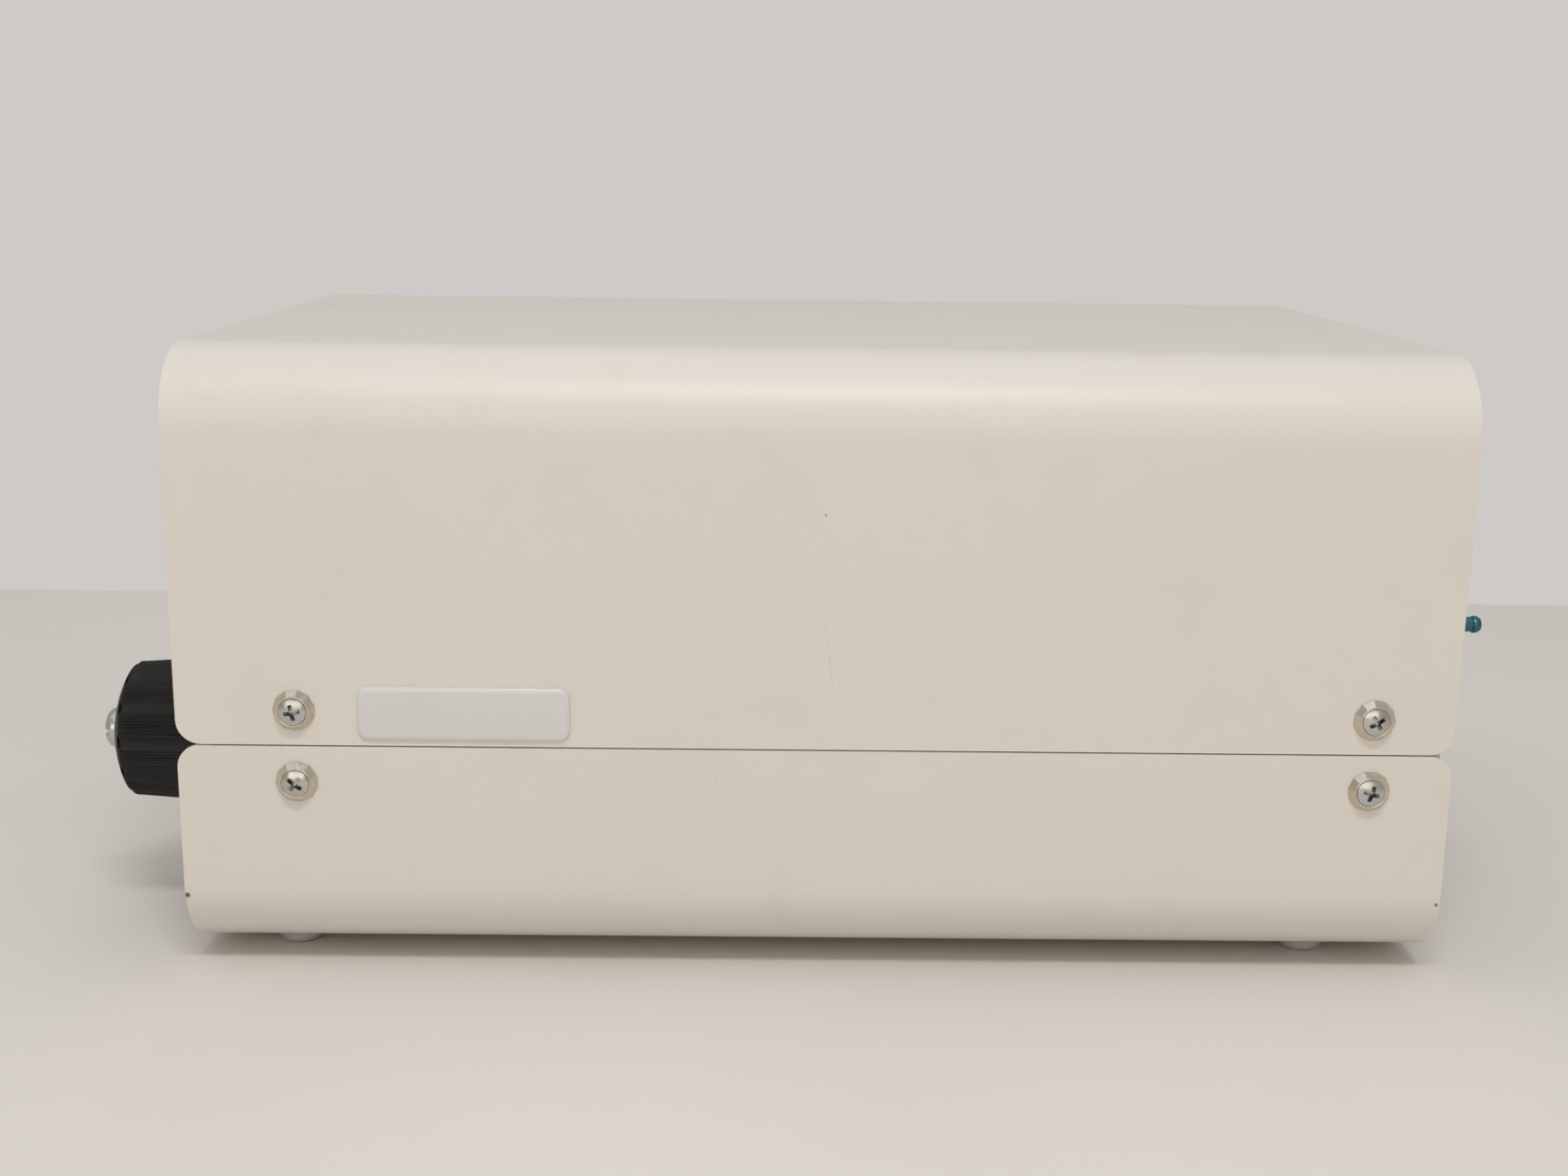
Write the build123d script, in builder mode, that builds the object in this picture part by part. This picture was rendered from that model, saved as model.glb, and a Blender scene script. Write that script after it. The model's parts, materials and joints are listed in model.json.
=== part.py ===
from build123d import *

import math
import os

os.makedirs("parts", exist_ok=True)

# Bench-top gas and temperature control unit, in millimetres.
# +X runs from the knob end to the rear, +Z is up, and the unit stands on Z = 0.
# The origin is at the middle of the whole object's footprint.

# Case: two U-bent sheet shells that meet at a level seam
case_length = 340.0
case_width = 226.0
case_height = 165.3
foot_height = 4.0
seam_height = 60.3
seam_gap = 0.4
shell_wall = 1.5
bend_radius = 21.6
upper_corner_radius = 6.5
lower_corner_radius = 6.0
knob_reach = 38.0
nipple_reach = 24.2

# Panels, set back inside the shells' open ends
front_recess = 8.0
rear_recess = 3.0
panel_wall = 2.0
panel_gap = 0.3

# Rails behind the seam, which every shell and panel screw bites into
rail_height = 36.0
rail_depth = 9.0
rail_gap = 0.2

# Fits
screw_gap = 0.05
hole_gap = 0.25
running_gap = 0.05
cutout_gap = 0.2
key_gap = 0.15

# Side screws with cup washers
front_screw_inset = 31.5
rear_screw_inset = 22.0
upper_screw_rise = 9.8
lower_screw_drop = 9.9
screw_radius = 2.0
screw_head_radius = 3.7
screw_dome_height = 0.9
screw_grip = 8.0
recess_span = 4.3
recess_width = 1.0
recess_depth = 1.5
washer_radius = 5.65
washer_lip_radius = 3.95
washer_height = 2.2
washer_rim = 0.4

# Feet
foot_radius = 6.3
foot_sole_radius = 5.4
foot_rounding = 1.2
front_foot_inset = 24.9
rear_foot_inset = 30.4
foot_spacing = 176.4

# Blank label plate on the side
badge_length = 56.2
badge_height = 14.5
badge_depth = 1.0
badge_corner = 3.0
badge_edge = 0.45
badge_from_front = 48.2
badge_above_seam = 1.9

# Frame screws, all small pan heads
pan_radius = 1.5
pan_head_radius = 2.8
pan_head_height = 2.2
pan_grip = 9.0
pan_rise = 13.0

# Knob and its screw
knob_y = -60.0
knob_drop = 11.4
knob_depth = 30.0
knob_dome_radius = 38.0
knob_shoulder_radius = 20.1
knob_base_radius = 21.8
knob_rim_rounding = 3.4
knob_flute_count = 12
knob_flute_radius = 3.0
knob_flute_depth = 0.9
knob_web = 5.0
knob_hollow_radius = 17.0
knob_hollow_depth = 8.5
knob_hub_radius = 8.0
knob_hub_setback = 4.5
knob_screw_radius = 3.0
knob_screw_head_radius = 5.9
knob_screw_head_height = 3.6
knob_screw_head_rounding = 1.8
knob_screw_slot_width = 1.6
knob_screw_slot_depth = 1.6
knob_screw_length = 14.0

# Metering valve behind the knob
spindle_radius = 5.0
spindle_tail_radius = 2.5
spindle_tail_length = 12.5
bonnet_radius = 9.0
bonnet_length = 18.0
valve_block = 30.0
valve_block_length = 34.0
valve_nut_flats = 24.0
valve_nut_height = 4.0
valve_seat_wall = 3.0
carriage_width = 8.0
carriage_length = 12.0
carriage_front_gap = 6.2
carriage_bore_depth = 11.3
needle_base_radius = 1.8
needle_tip_radius = 0.4
needle_length = 6.4
needle_seat_depth = 4.4
seal_wire_radius = 0.85
seal_groove_width = 2.4
seal_inset = 11.0

# Gas line
hose_radius = 3.0
port_radius = 2.0
nipple_z = 88.1
inlet_y = -60.0
outlet_y = -30.0
nipple_shank_radius = 2.175
nipple_barb_radius = 2.5
nipple_barb_land = 1.2
nipple_barb_taper = 1.1
nipple_tip_radius = 1.9
nipple_bore_radius = 1.3
nipple_collar_radius = 3.6
nipple_collar_length = 4.5
nipple_hex_flats = 10.0
nipple_hex_height = 5.0
nipple_thread_radius = 4.0
nipple_tail_radius = 3.2
nipple_tail_length = 14.0
nipple_nut_flats = 13.0
nipple_nut_height = 4.0

# Solenoid valve on its bracket
solenoid_x = 95.0
solenoid_block = 28.0
solenoid_block_height = 16.0
solenoid_chamber_floor = 9.0
plunger_radius = 4.5
plunger_length = 14.0
plunger_nose_radius = 2.0
plunger_nose_height = 1.0
orifice_radius = 1.0
riser_radius = 0.8
riser_offset = 3.4
guide_wall = 0.9
guide_height = 25.0
coil_width = 24.0
coil_length = 30.0
coil_height = 22.0
coil_rounding = 5.0
spring_radius = 3.2
spring_wire_radius = 0.4
spring_turns = 5
bracket_wall = 1.5
bracket_width = 32.0

# Operating panel
display_y = 25.0
display_z = 122.0
display_width = 96.0
display_height = 32.0
display_bezel = 3.5
display_depth = 12.0
board_wall = 1.6
board_width = 136.0
board_height = 66.0
board_drop = 13.0
board_inset = 7.0
spacer_radius = 3.0
key_z = 88.0
key_pitch = 25.0
key_radius = 5.0
key_flange_radius = 6.2
key_flange_wall = 1.0
key_proud = 1.5
key_stem_radius = 1.75
key_travel = 0.8
key_switch_width = 6.0
key_switch_height = 5.0
light_y = -30.0
light_radius = 1.5
light_pitch = 9.0
light_proud = 1.0

# Power switch
switch_y = 80.0
switch_z = 42.0
switch_width = 22.0
switch_height = 30.0
switch_bezel = 1.8
switch_bezel_wall = 1.6
switch_body_depth = 20.0
switch_wall = 1.6
rocker_pivot_depth = 2.0
rocker_reach = 12.0
rocker_crown = 6.0
rocker_dip = 4.4
rocker_tilt = 11.0
rocker_pin_radius = 1.5
rocker_side_gap = 0.3

# Mains inlet with its fuse drawer
inlet_centre_y = 62.0
inlet_centre_z = 40.0
inlet_flange_width = 31.0
inlet_flange_height = 46.0
inlet_flange_wall = 2.4
inlet_body_width = 27.4
inlet_body_height = 41.0
inlet_body_depth = 24.0
socket_width = 24.4
socket_height = 16.8
socket_depth = 15.5
socket_chamfer = 5.6
socket_rise = 9.0
pin_pitch = 14.0
pin_rise = 4.0
pin_width = 2.0
pin_height = 4.0
pin_length = 11.0
drawer_width = 24.0
drawer_height = 11.0
drawer_depth = 18.0
drawer_drop = 12.0
drawer_face_wall = 2.0
drawer_lip = 2.2
fuse_radius = 2.6
fuse_length = 20.0
fuse_gap = 0.15

# Sensor sockets
sensor_z = 40.0
sensor_first_y = -60.0
sensor_pitch = 35.0
sensor_flange_radius = 10.0
sensor_flange_wall = 2.4
sensor_body_radius = 8.0
sensor_body_depth = 16.0
sensor_bore_radius = 6.8
sensor_bore_depth = 9.0
sensor_contact_radius = 0.9
sensor_contact_circle = 3.6
sensor_contact_count = 5
sensor_nut_flats = 21.0
sensor_nut_height = 3.0

# Fan
fan_y = 50.0
fan_z = 115.0
fan_size = 60.0
fan_depth = 25.0
fan_corner = 5.0
fan_bore_radius = 28.3
fan_hole_spacing = 50.0
fan_boss_radius = 15.0
fan_boss_depth = 4.5
fan_strut_width = 3.0
fan_shaft_radius = 1.5
fan_hub_radius = 15.5
fan_hub_inset = 2.0
fan_hub_gap = 0.6
fan_hub_wall = 3.0
fan_blade_count = 7
fan_blade_radius = 27.4
fan_blade_wall = 1.4
fan_blade_chord = 19.0
fan_blade_pitch = 38.0
guard_ring_width = 1.6
guard_wall = 1.6
guard_ring_pitch = 6.2
guard_ring_count = 4
guard_spoke_width = 2.6
guard_eye_radius = 4.0

# Toroidal transformer
transformer_x = 62.0
transformer_y = 48.0
transformer_radius = 45.0
transformer_hole_radius = 14.0
transformer_height = 38.0
transformer_rounding = 9.0
pad_radius = 42.0
pad_wall = 2.0
plate_radius = 30.0
plate_wall = 2.0
bolt_radius = 3.0
bolt_head_flats = 10.0
bolt_head_height = 4.0

# Main board and what stands on it
main_board_x = -12.0
main_board_y = -54.0
main_board_length = 170.0
main_board_width = 84.0
main_spacer_height = 10.0
main_board_inset = 8.0
sink_x = -58.0
sink_y = -34.0
sink_length = 60.0
sink_width = 30.0
sink_base = 4.0
sink_fin_height = 22.0
sink_fin_wall = 1.6
sink_fin_count = 6
relay_x = 5.0
relay_y = -36.0
relay_pitch = 32.0
relay_length = 26.0
relay_width = 14.0
relay_height = 17.0
capacitor_x = 8.0
capacitor_y = -68.0
capacitor_pitch = 30.0
capacitor_radius = 10.0
capacitor_height = 28.0
terminal_x = -58.0
terminal_y = -84.0
terminal_pitch = 7.5
terminal_count = 8
terminal_width = 11.0
terminal_height = 13.0

# Vent slots in the underside
vent_x = -17.0
vent_y = -54.0
vent_count = 10
vent_pitch = 10.0
vent_width = 3.0
vent_length = 28.0

# Where the case stands in the object's frame
centre_x = (knob_reach - nipple_reach) / 2
front_edge = centre_x - case_length / 2
rear_edge = front_edge + case_length
base_z = foot_height
top_z = base_z + case_height
seam_z = base_z + seam_height
side_y = case_width / 2
inner_y = side_y - shell_wall
floor_z = base_z + shell_wall
ceiling_z = top_z - shell_wall
front_face = front_edge + front_recess
front_back = front_face + panel_wall
rear_face = rear_edge - rear_recess
rear_back = rear_face - panel_wall
rail_outer_y = inner_y - rail_gap
rail_centre_y = rail_outer_y - rail_depth / 2
rail_top = seam_z + rail_height / 2
knob_z = seam_z - knob_drop


def turned(*points, y=0.0, z=0.0):
    """Solid turned about a line along X through (y, z), from (x, radius) points."""
    with BuildPart() as form:
        with BuildSketch(Plane((0, y, z), x_dir=(1, 0, 0), z_dir=(0, -1, 0))):
            with BuildLine():
                Polyline(*points, close=True)
            make_face()
        revolve(axis=Axis((0, y, z), (1, 0, 0)))
    return form.part


def turned_upright(*points):
    """Solid turned about the Z axis, from (radius, z) points."""
    with BuildPart() as form:
        with BuildSketch(Plane.XZ):
            with BuildLine():
                Polyline(*points, close=True)
            make_face()
        revolve(axis=Axis.Z)
    return form.part


def side_planes(*spots):
    """Planes that face outward at (x, z) spots, on both sides of the case."""
    return [
        Plane((x, side * side_y, z), x_dir=(1, 0, 0), z_dir=(0, side, 0))
        for side in (-1, 1)
        for x, z in spots
    ]


def forward_plane(x, y, z):
    """Plane that faces the knob end, with its own X along -Y."""
    return Plane((x, y, z), x_dir=(0, -1, 0), z_dir=(-1, 0, 0))


def rearward_plane(x, y, z):
    """Plane that faces the rear, with its own X along +Y."""
    return Plane((x, y, z), x_dir=(0, 1, 0), z_dir=(1, 0, 0))


def hose(*points):
    """Hose along straight runs that are joined by the largest arcs that fit."""
    radii = []
    for before, corner, after in zip(points, points[1:], points[2:]):
        arrive = Vector(*corner) - Vector(*before)
        leave = Vector(*after) - Vector(*corner)
        shorter = min(arrive.length, leave.length)
        half_turn = math.radians(arrive.get_angle(leave)) / 2
        radii.append(0.45 * shorter / math.tan(half_turn))
    print("hose radii", [round(radius, 1) for radius in radii])
    with BuildPart() as form:
        with BuildLine():
            if radii:
                route = FilletPolyline(*points, radius=radii)
            else:
                route = Line(*points)
        with BuildSketch(Plane(route @ 0, z_dir=route % 0)):
            Circle(hose_radius)
        sweep(path=route)
    return form.part


# Small fasteners
with BuildPart() as side_screw_form:
    head_rise = washer_height
    cone_foot = head_rise - (screw_head_radius - screw_radius)
    shank_end = -(shell_wall + rail_gap + screw_grip)
    with BuildSketch(Plane.XZ):
        with BuildLine():
            crown = ThreePointArc(
                (0, head_rise + screw_dome_height),
                (screw_head_radius * 0.55, head_rise + screw_dome_height * 0.72),
                (screw_head_radius, head_rise),
            )
            Polyline(
                crown @ 1,
                (screw_radius, cone_foot),
                (screw_radius, shank_end),
                (0, shank_end),
                crown @ 0,
            )
        make_face()
    revolve(axis=Axis.Z)
    with Locations((0, 0, head_rise + screw_dome_height)):
        for turn in (0, 90):
            Box(
                recess_span,
                recess_width,
                2 * recess_depth,
                rotation=(0, 0, turn),
                mode=Mode.SUBTRACT,
            )

washer_form = turned_upright(
    (screw_radius + hole_gap, 0),
    (screw_radius + hole_gap, cone_foot + hole_gap - screw_gap),
    (screw_head_radius + screw_gap, washer_height),
    (washer_lip_radius, washer_height),
    (washer_radius, washer_rim),
    (washer_radius, 0),
)

with BuildPart() as pan_screw_form:
    Cylinder(pan_head_radius, pan_head_height, align=(Align.CENTER, Align.CENTER, Align.MIN))
    fillet(pan_screw_form.edges().sort_by(Axis.Z)[-1], pan_head_height * 0.45)
    with Locations((0, 0, pan_head_height)):
        for turn in (0, 90):
            Box(
                pan_head_radius,
                recess_width * 0.7,
                pan_head_height,
                rotation=(0, 0, turn),
                mode=Mode.SUBTRACT,
            )
    Cylinder(pan_radius, pan_grip, align=(Align.CENTER, Align.CENTER, Align.MAX))

# Places of the side screws
front_screw_x = front_edge + front_screw_inset
rear_screw_x = rear_edge - rear_screw_inset
upper_screw_z = seam_z + upper_screw_rise
lower_screw_z = seam_z - lower_screw_drop
upper_spots = [(front_screw_x, upper_screw_z), (rear_screw_x, upper_screw_z)]
lower_spots = [(front_screw_x, lower_screw_z), (rear_screw_x, lower_screw_z)]

# Upper shell: open downward
with BuildPart() as upper_shell:
    with BuildSketch(Plane.YZ.offset(front_edge)) as upper_outline:
        with Locations((0, top_z)):
            Rectangle(case_width, top_z - seam_z - seam_gap / 2, align=(Align.CENTER, Align.MAX))
        fillet(upper_outline.vertices().group_by(Axis.Y)[-1], bend_radius)
    extrude(amount=case_length)
    with BuildSketch(Plane.YZ.offset(front_edge)) as upper_hollow:
        with Locations((0, ceiling_z)):
            Rectangle(2 * inner_y, ceiling_z - seam_z, align=(Align.CENTER, Align.MAX))
        fillet(upper_hollow.vertices().group_by(Axis.Y)[-1], bend_radius - shell_wall)
    extrude(amount=case_length, mode=Mode.SUBTRACT)
    corners = upper_shell.edges().filter_by(Axis.Y).group_by(Axis.Z)[0]
    fillet(corners, upper_corner_radius)
    with Locations(*side_planes(*upper_spots)):
        Hole(screw_radius + hole_gap, depth=2 * shell_wall)
upper_shell.part.label = "upper_shell"

# Lower shell: open upward, with vent slots in its floor
foot_spots = [
    (x, side * foot_spacing / 2)
    for x in (front_edge + front_foot_inset, rear_edge - rear_foot_inset)
    for side in (-1, 1)
]
with BuildPart() as lower_shell:
    with BuildSketch(Plane.YZ.offset(front_edge)) as lower_outline:
        with Locations((0, base_z)):
            Rectangle(case_width, seam_height - seam_gap / 2, align=(Align.CENTER, Align.MIN))
        fillet(lower_outline.vertices().group_by(Axis.Y)[0], bend_radius)
    extrude(amount=case_length)
    with BuildSketch(Plane.YZ.offset(front_edge)) as lower_hollow:
        with Locations((0, floor_z)):
            Rectangle(2 * inner_y, seam_z - floor_z, align=(Align.CENTER, Align.MIN))
        fillet(lower_hollow.vertices().group_by(Axis.Y)[0], bend_radius - shell_wall)
    extrude(amount=case_length, mode=Mode.SUBTRACT)
    corners = lower_shell.edges().filter_by(Axis.Y).group_by(Axis.Z)[-1]
    fillet(corners, lower_corner_radius)
    with Locations(*side_planes(*lower_spots)):
        Hole(screw_radius + hole_gap, depth=2 * shell_wall)
    with BuildSketch(Plane.XY.offset(base_z)):
        with Locations((vent_x, vent_y)):
            with GridLocations(vent_pitch, 0, vent_count, 1):
                SlotOverall(vent_length, vent_width, rotation=90)
        with Locations((transformer_x, transformer_y)):
            Circle(bolt_radius + screw_gap)
    extrude(amount=shell_wall, mode=Mode.SUBTRACT)
lower_shell.part.label = "lower_shell"

with BuildPart() as shell_screws:
    with Locations(*side_planes(*upper_spots, *lower_spots)):
        add(side_screw_form.part)
shell_screws.part.label = "shell_screws"

with BuildPart() as cup_washers:
    with Locations(*side_planes(*upper_spots, *lower_spots)):
        add(washer_form)
cup_washers.part.label = "cup_washers"

with BuildPart() as feet:
    with Locations(*[(x, y, 0) for x, y in foot_spots]):
        Cone(
            foot_sole_radius,
            foot_radius,
            foot_height,
            align=(Align.CENTER, Align.CENTER, Align.MIN),
        )
    fillet(feet.edges().group_by(Axis.Z)[0], foot_rounding)
feet.part.label = "feet"

with BuildPart() as badge:
    badge_x = front_edge + badge_from_front + badge_length / 2
    badge_z = seam_z + badge_above_seam + badge_height / 2
    with BuildSketch(Plane((badge_x, -side_y, badge_z), x_dir=(1, 0, 0), z_dir=(0, -1, 0))):
        RectangleRounded(badge_length, badge_height, badge_corner)
    extrude(amount=badge_depth)
    fillet(badge.faces().sort_by(Axis.Y)[0].edges(), badge_edge)
badge.part.label = "badge"

# Rails: their side holes take the shell screws and their end holes the panel screws
rail_length = rear_back - front_back
rail_middle = (rear_back + front_back) / 2
panel_screw_spots = [
    (side * rail_centre_y, seam_z + rise) for side in (-1, 1) for rise in (-pan_rise, pan_rise)
]
bracket_screw_spots = [
    (solenoid_x + side * bracket_width * 0.3, -rail_centre_y) for side in (-1, 1)
]
with BuildPart() as side_rails:
    with Locations((rail_middle, -rail_centre_y, seam_z), (rail_middle, rail_centre_y, seam_z)):
        Box(rail_length, rail_depth, rail_height)
    with Locations(*side_planes(*upper_spots, *lower_spots)):
        Hole(screw_radius + screw_gap, depth=shell_wall + rail_gap + rail_depth)
    with Locations(*[forward_plane(front_back, y, z) for y, z in panel_screw_spots]):
        Hole(pan_radius + screw_gap, depth=pan_grip)
    with Locations(*[rearward_plane(rear_back, y, z) for y, z in panel_screw_spots]):
        Hole(pan_radius + screw_gap, depth=pan_grip)
    with Locations(*[(x, y, rail_top) for x, y in bracket_screw_spots]):
        Hole(pan_radius + screw_gap, depth=pan_grip)
side_rails.part.label = "side_rails"

with BuildPart() as frame_screws:
    with Locations(*[forward_plane(front_face, y, z) for y, z in panel_screw_spots]):
        add(pan_screw_form.part)
    with Locations(*[rearward_plane(rear_face, y, z) for y, z in panel_screw_spots]):
        add(pan_screw_form.part)
    with Locations(*[(x, y, rail_top + bracket_wall) for x, y in bracket_screw_spots]):
        add(pan_screw_form.part)
frame_screws.part.label = "frame_screws"

# Places on the operating panel
board_front = front_back + display_depth
board_y = display_y
board_z = display_z - board_drop
key_ys = [display_y + key_pitch, display_y, display_y - key_pitch]
light_zs = [display_z + step * light_pitch for step in (-1, 0, 1)]
panel_width = 2 * (inner_y - panel_gap)
panel_height = ceiling_z - floor_z - 2 * panel_gap
panel_z = (ceiling_z + floor_z) / 2
panel_corner = bend_radius - shell_wall - panel_gap

with BuildPart() as front_panel:
    with BuildSketch(Plane.YZ.offset(front_face)):
        with Locations((0, panel_z)):
            RectangleRounded(panel_width, panel_height, panel_corner)
        with Locations(*panel_screw_spots):
            Circle(pan_radius + hole_gap, mode=Mode.SUBTRACT)
        with Locations((knob_y, knob_z)):
            Circle(bonnet_radius + hole_gap, mode=Mode.SUBTRACT)
        with Locations((display_y, display_z)):
            Rectangle(display_width, display_height, mode=Mode.SUBTRACT)
        with Locations(*[(y, key_z) for y in key_ys]):
            Circle(key_radius + key_gap, mode=Mode.SUBTRACT)
        with Locations(*[(light_y, z) for z in light_zs]):
            Circle(light_radius + key_gap, mode=Mode.SUBTRACT)
        with Locations((switch_y, switch_z)):
            Rectangle(
                switch_width + 2 * cutout_gap,
                switch_height + 2 * cutout_gap,
                mode=Mode.SUBTRACT,
            )
    extrude(amount=panel_wall)
front_panel.part.label = "front_panel"

sensor_ys = [sensor_first_y, sensor_first_y + sensor_pitch]
nipple_ys = [inlet_y, outlet_y]
with BuildPart() as rear_panel:
    with BuildSketch(Plane.YZ.offset(rear_back)):
        with Locations((0, panel_z)):
            RectangleRounded(panel_width, panel_height, panel_corner)
        with Locations(*panel_screw_spots):
            Circle(pan_radius + hole_gap, mode=Mode.SUBTRACT)
        with Locations(*[(y, nipple_z) for y in nipple_ys]):
            Circle(nipple_thread_radius + hole_gap, mode=Mode.SUBTRACT)
        with Locations(*[(y, sensor_z) for y in sensor_ys]):
            Circle(sensor_body_radius + hole_gap, mode=Mode.SUBTRACT)
        with Locations((inlet_centre_y, inlet_centre_z)):
            Rectangle(
                inlet_body_width + 2 * cutout_gap,
                inlet_body_height + 2 * cutout_gap,
                mode=Mode.SUBTRACT,
            )
        with Locations((fan_y, fan_z)):
            Circle(fan_bore_radius, mode=Mode.SUBTRACT)
            with GridLocations(fan_hole_spacing, fan_hole_spacing, 2, 2):
                Circle(pan_radius + hole_gap, mode=Mode.SUBTRACT)
    extrude(amount=panel_wall)
rear_panel.part.label = "rear_panel"

# Display behind its window, and the board that carries it
with BuildPart() as display_window:
    with BuildSketch(Plane.YZ.offset(front_face)):
        with Locations((display_y, display_z)):
            RectangleRounded(display_width - 2 * key_gap, display_height - 2 * key_gap, 0.6)
    extrude(amount=panel_wall)
display_window.part.label = "display_window"

with BuildPart() as display_module:
    with BuildSketch(Plane.YZ.offset(front_back)):
        with Locations((display_y, display_z)):
            Rectangle(display_width + 2 * display_bezel, display_height + 2 * display_bezel)
    extrude(amount=display_depth)
    chamfer(display_module.edges().filter_by(Axis.X), display_bezel / 2)
display_module.part.label = "display_module"

board_spots = [
    (board_y + side * (board_width / 2 - board_inset), board_z + rise * (board_height / 2 - board_inset))
    for side in (-1, 1)
    for rise in (-1, 1)
]
main_board_z = floor_z + main_spacer_height
main_spots = [
    (
        main_board_x + side * (main_board_length / 2 - main_board_inset),
        main_board_y + rise * (main_board_width / 2 - main_board_inset),
    )
    for side in (-1, 1)
    for rise in (-1, 1)
]
with BuildPart() as control_board:
    with BuildSketch(Plane.YZ.offset(board_front)):
        with Locations((board_y, board_z)):
            Rectangle(board_width, board_height)
        with Locations(*board_spots):
            Circle(pan_radius + hole_gap, mode=Mode.SUBTRACT)
    extrude(amount=board_wall)
control_board.part.label = "control_board"

with BuildPart() as board_spacers:
    with BuildSketch(Plane.YZ.offset(front_back)):
        with Locations(*board_spots):
            RegularPolygon(spacer_radius, 6)
    extrude(amount=display_depth)
    with BuildSketch(Plane.XY.offset(floor_z)):
        with Locations(*main_spots):
            RegularPolygon(spacer_radius, 6)
    extrude(amount=main_spacer_height)
board_spacers.part.label = "board_spacers"

# Keys: each cap passes the panel and its stem waits in front of a switch on the board
key_switch_front = board_front - key_switch_height
key_flange_front = front_back + running_gap
key_stem_end = key_switch_front - key_travel - key_gap
key_nodes = {}
for key_name, key_y in zip(("key_set", "key_up", "key_down"), key_ys):
    with BuildPart() as key:
        add(
            turned(
                (front_face - key_proud, 0),
                (front_face - key_proud, key_radius - 0.6),
                (front_face - key_proud + 0.6, key_radius),
                (key_flange_front, key_radius),
                (key_flange_front, key_flange_radius),
                (key_flange_front + key_flange_wall, key_flange_radius),
                (key_flange_front + key_flange_wall, key_stem_radius),
                (key_stem_end, key_stem_radius),
                (key_stem_end, 0),
                y=key_y,
                z=key_z,
            )
        )
    key.part.label = key_name
    key_nodes[key_name] = key.part

with BuildPart() as key_switches:
    with BuildSketch(Plane.YZ.offset(board_front)):
        with Locations(*[(y, key_z) for y in key_ys]):
            RectangleRounded(key_switch_width, key_switch_width, 0.6)
    extrude(amount=-key_switch_height * 0.7)
    with BuildSketch(Plane.YZ.offset(board_front)):
        with Locations(*[(y, key_z) for y in key_ys]):
            Circle(key_stem_radius)
    extrude(amount=-key_switch_height)
key_switches.part.label = "key_switches"

with BuildPart() as status_lights:
    for light_z in light_zs:
        add(
            turned(
                (front_face - light_proud, 0),
                (front_face - light_proud, light_radius * 0.6),
                (front_face - light_proud * 0.4, light_radius),
                (front_back + light_proud, light_radius),
                (front_back + light_proud, light_radius + 0.6),
                (board_front, light_radius + 0.6),
                (board_front, 0),
                y=light_y,
                z=light_z,
            )
        )
status_lights.part.label = "status_lights"

# Power switch: the rocker turns on trunnions in the housing's side walls
rocker_x = front_face + rocker_pivot_depth
rocker_width = switch_width - 2 * switch_wall - 2 * rocker_side_gap
with BuildPart() as switch_housing:
    with BuildSketch(forward_plane(front_face, switch_y, switch_z)):
        RectangleRounded(
            switch_width + 2 * switch_bezel, switch_height + 2 * switch_bezel, switch_bezel
        )
    extrude(amount=switch_bezel_wall)
    with BuildSketch(rearward_plane(front_face, switch_y, switch_z)):
        Rectangle(switch_width, switch_height)
    extrude(amount=switch_body_depth)
    with BuildSketch(rearward_plane(front_face - switch_bezel_wall, switch_y, switch_z)):
        Rectangle(switch_width - 2 * switch_wall, switch_height - 2 * switch_wall)
    extrude(amount=switch_bezel_wall + switch_body_depth - switch_wall, mode=Mode.SUBTRACT)
    with Locations(Plane((rocker_x, switch_y, switch_z), z_dir=(0, 1, 0))):
        Cylinder(rocker_pin_radius + running_gap, switch_width, mode=Mode.SUBTRACT)
switch_housing.part.label = "switch_housing"

rocker_lean = math.radians(rocker_tilt)
rocker_plane = Plane(
    (rocker_x, switch_y, switch_z),
    x_dir=(-math.cos(rocker_lean), 0, -math.sin(rocker_lean)),
    z_dir=(0, 1, 0),
)
with BuildPart() as switch_rocker:
    with BuildSketch(rocker_plane):
        with BuildLine():
            face = ThreePointArc(
                (rocker_crown, rocker_reach), (rocker_dip, 0), (rocker_crown, -rocker_reach)
            )
            Polyline(
                face @ 1,
                (rocker_crown * 0.4, -rocker_reach * 1.03),
                (-rocker_pin_radius * 1.8, -rocker_reach * 0.25),
                (-rocker_pin_radius * 1.8, rocker_reach * 0.25),
                (rocker_crown * 0.4, rocker_reach * 1.03),
                face @ 0,
            )
        make_face()
    extrude(amount=rocker_width / 2, both=True)
    with BuildSketch(rocker_plane):
        Circle(rocker_pin_radius)
    extrude(amount=(switch_width - switch_wall) / 2, both=True)
switch_rocker.part.label = "switch_rocker"

# Metering valve: block and bonnet in one, bored for the spindle and the needle carriage
knob_tip = front_edge - knob_reach
knob_face = knob_tip + knob_screw_head_height
knob_base = knob_face + knob_depth
bonnet_front = front_back - bonnet_length
carriage_front = front_back + carriage_front_gap
carriage_back = carriage_front + carriage_length
seat_front = carriage_back + needle_seat_depth
seat_back = seat_front + valve_seat_wall
spindle_shoulder = carriage_front - 3.6
chamber_front = spindle_shoulder + 1.0
chamber_width = carriage_width + 2 * running_gap
valve_back = front_back + valve_block_length
seat_radius = (
    needle_base_radius
    - (needle_base_radius - needle_tip_radius) * needle_seat_depth / needle_length
    + running_gap
)
outlet_port_x = seat_front - port_radius - 0.5
valve_top = knob_z + valve_block / 2
groove_front = bonnet_front + seal_inset

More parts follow.
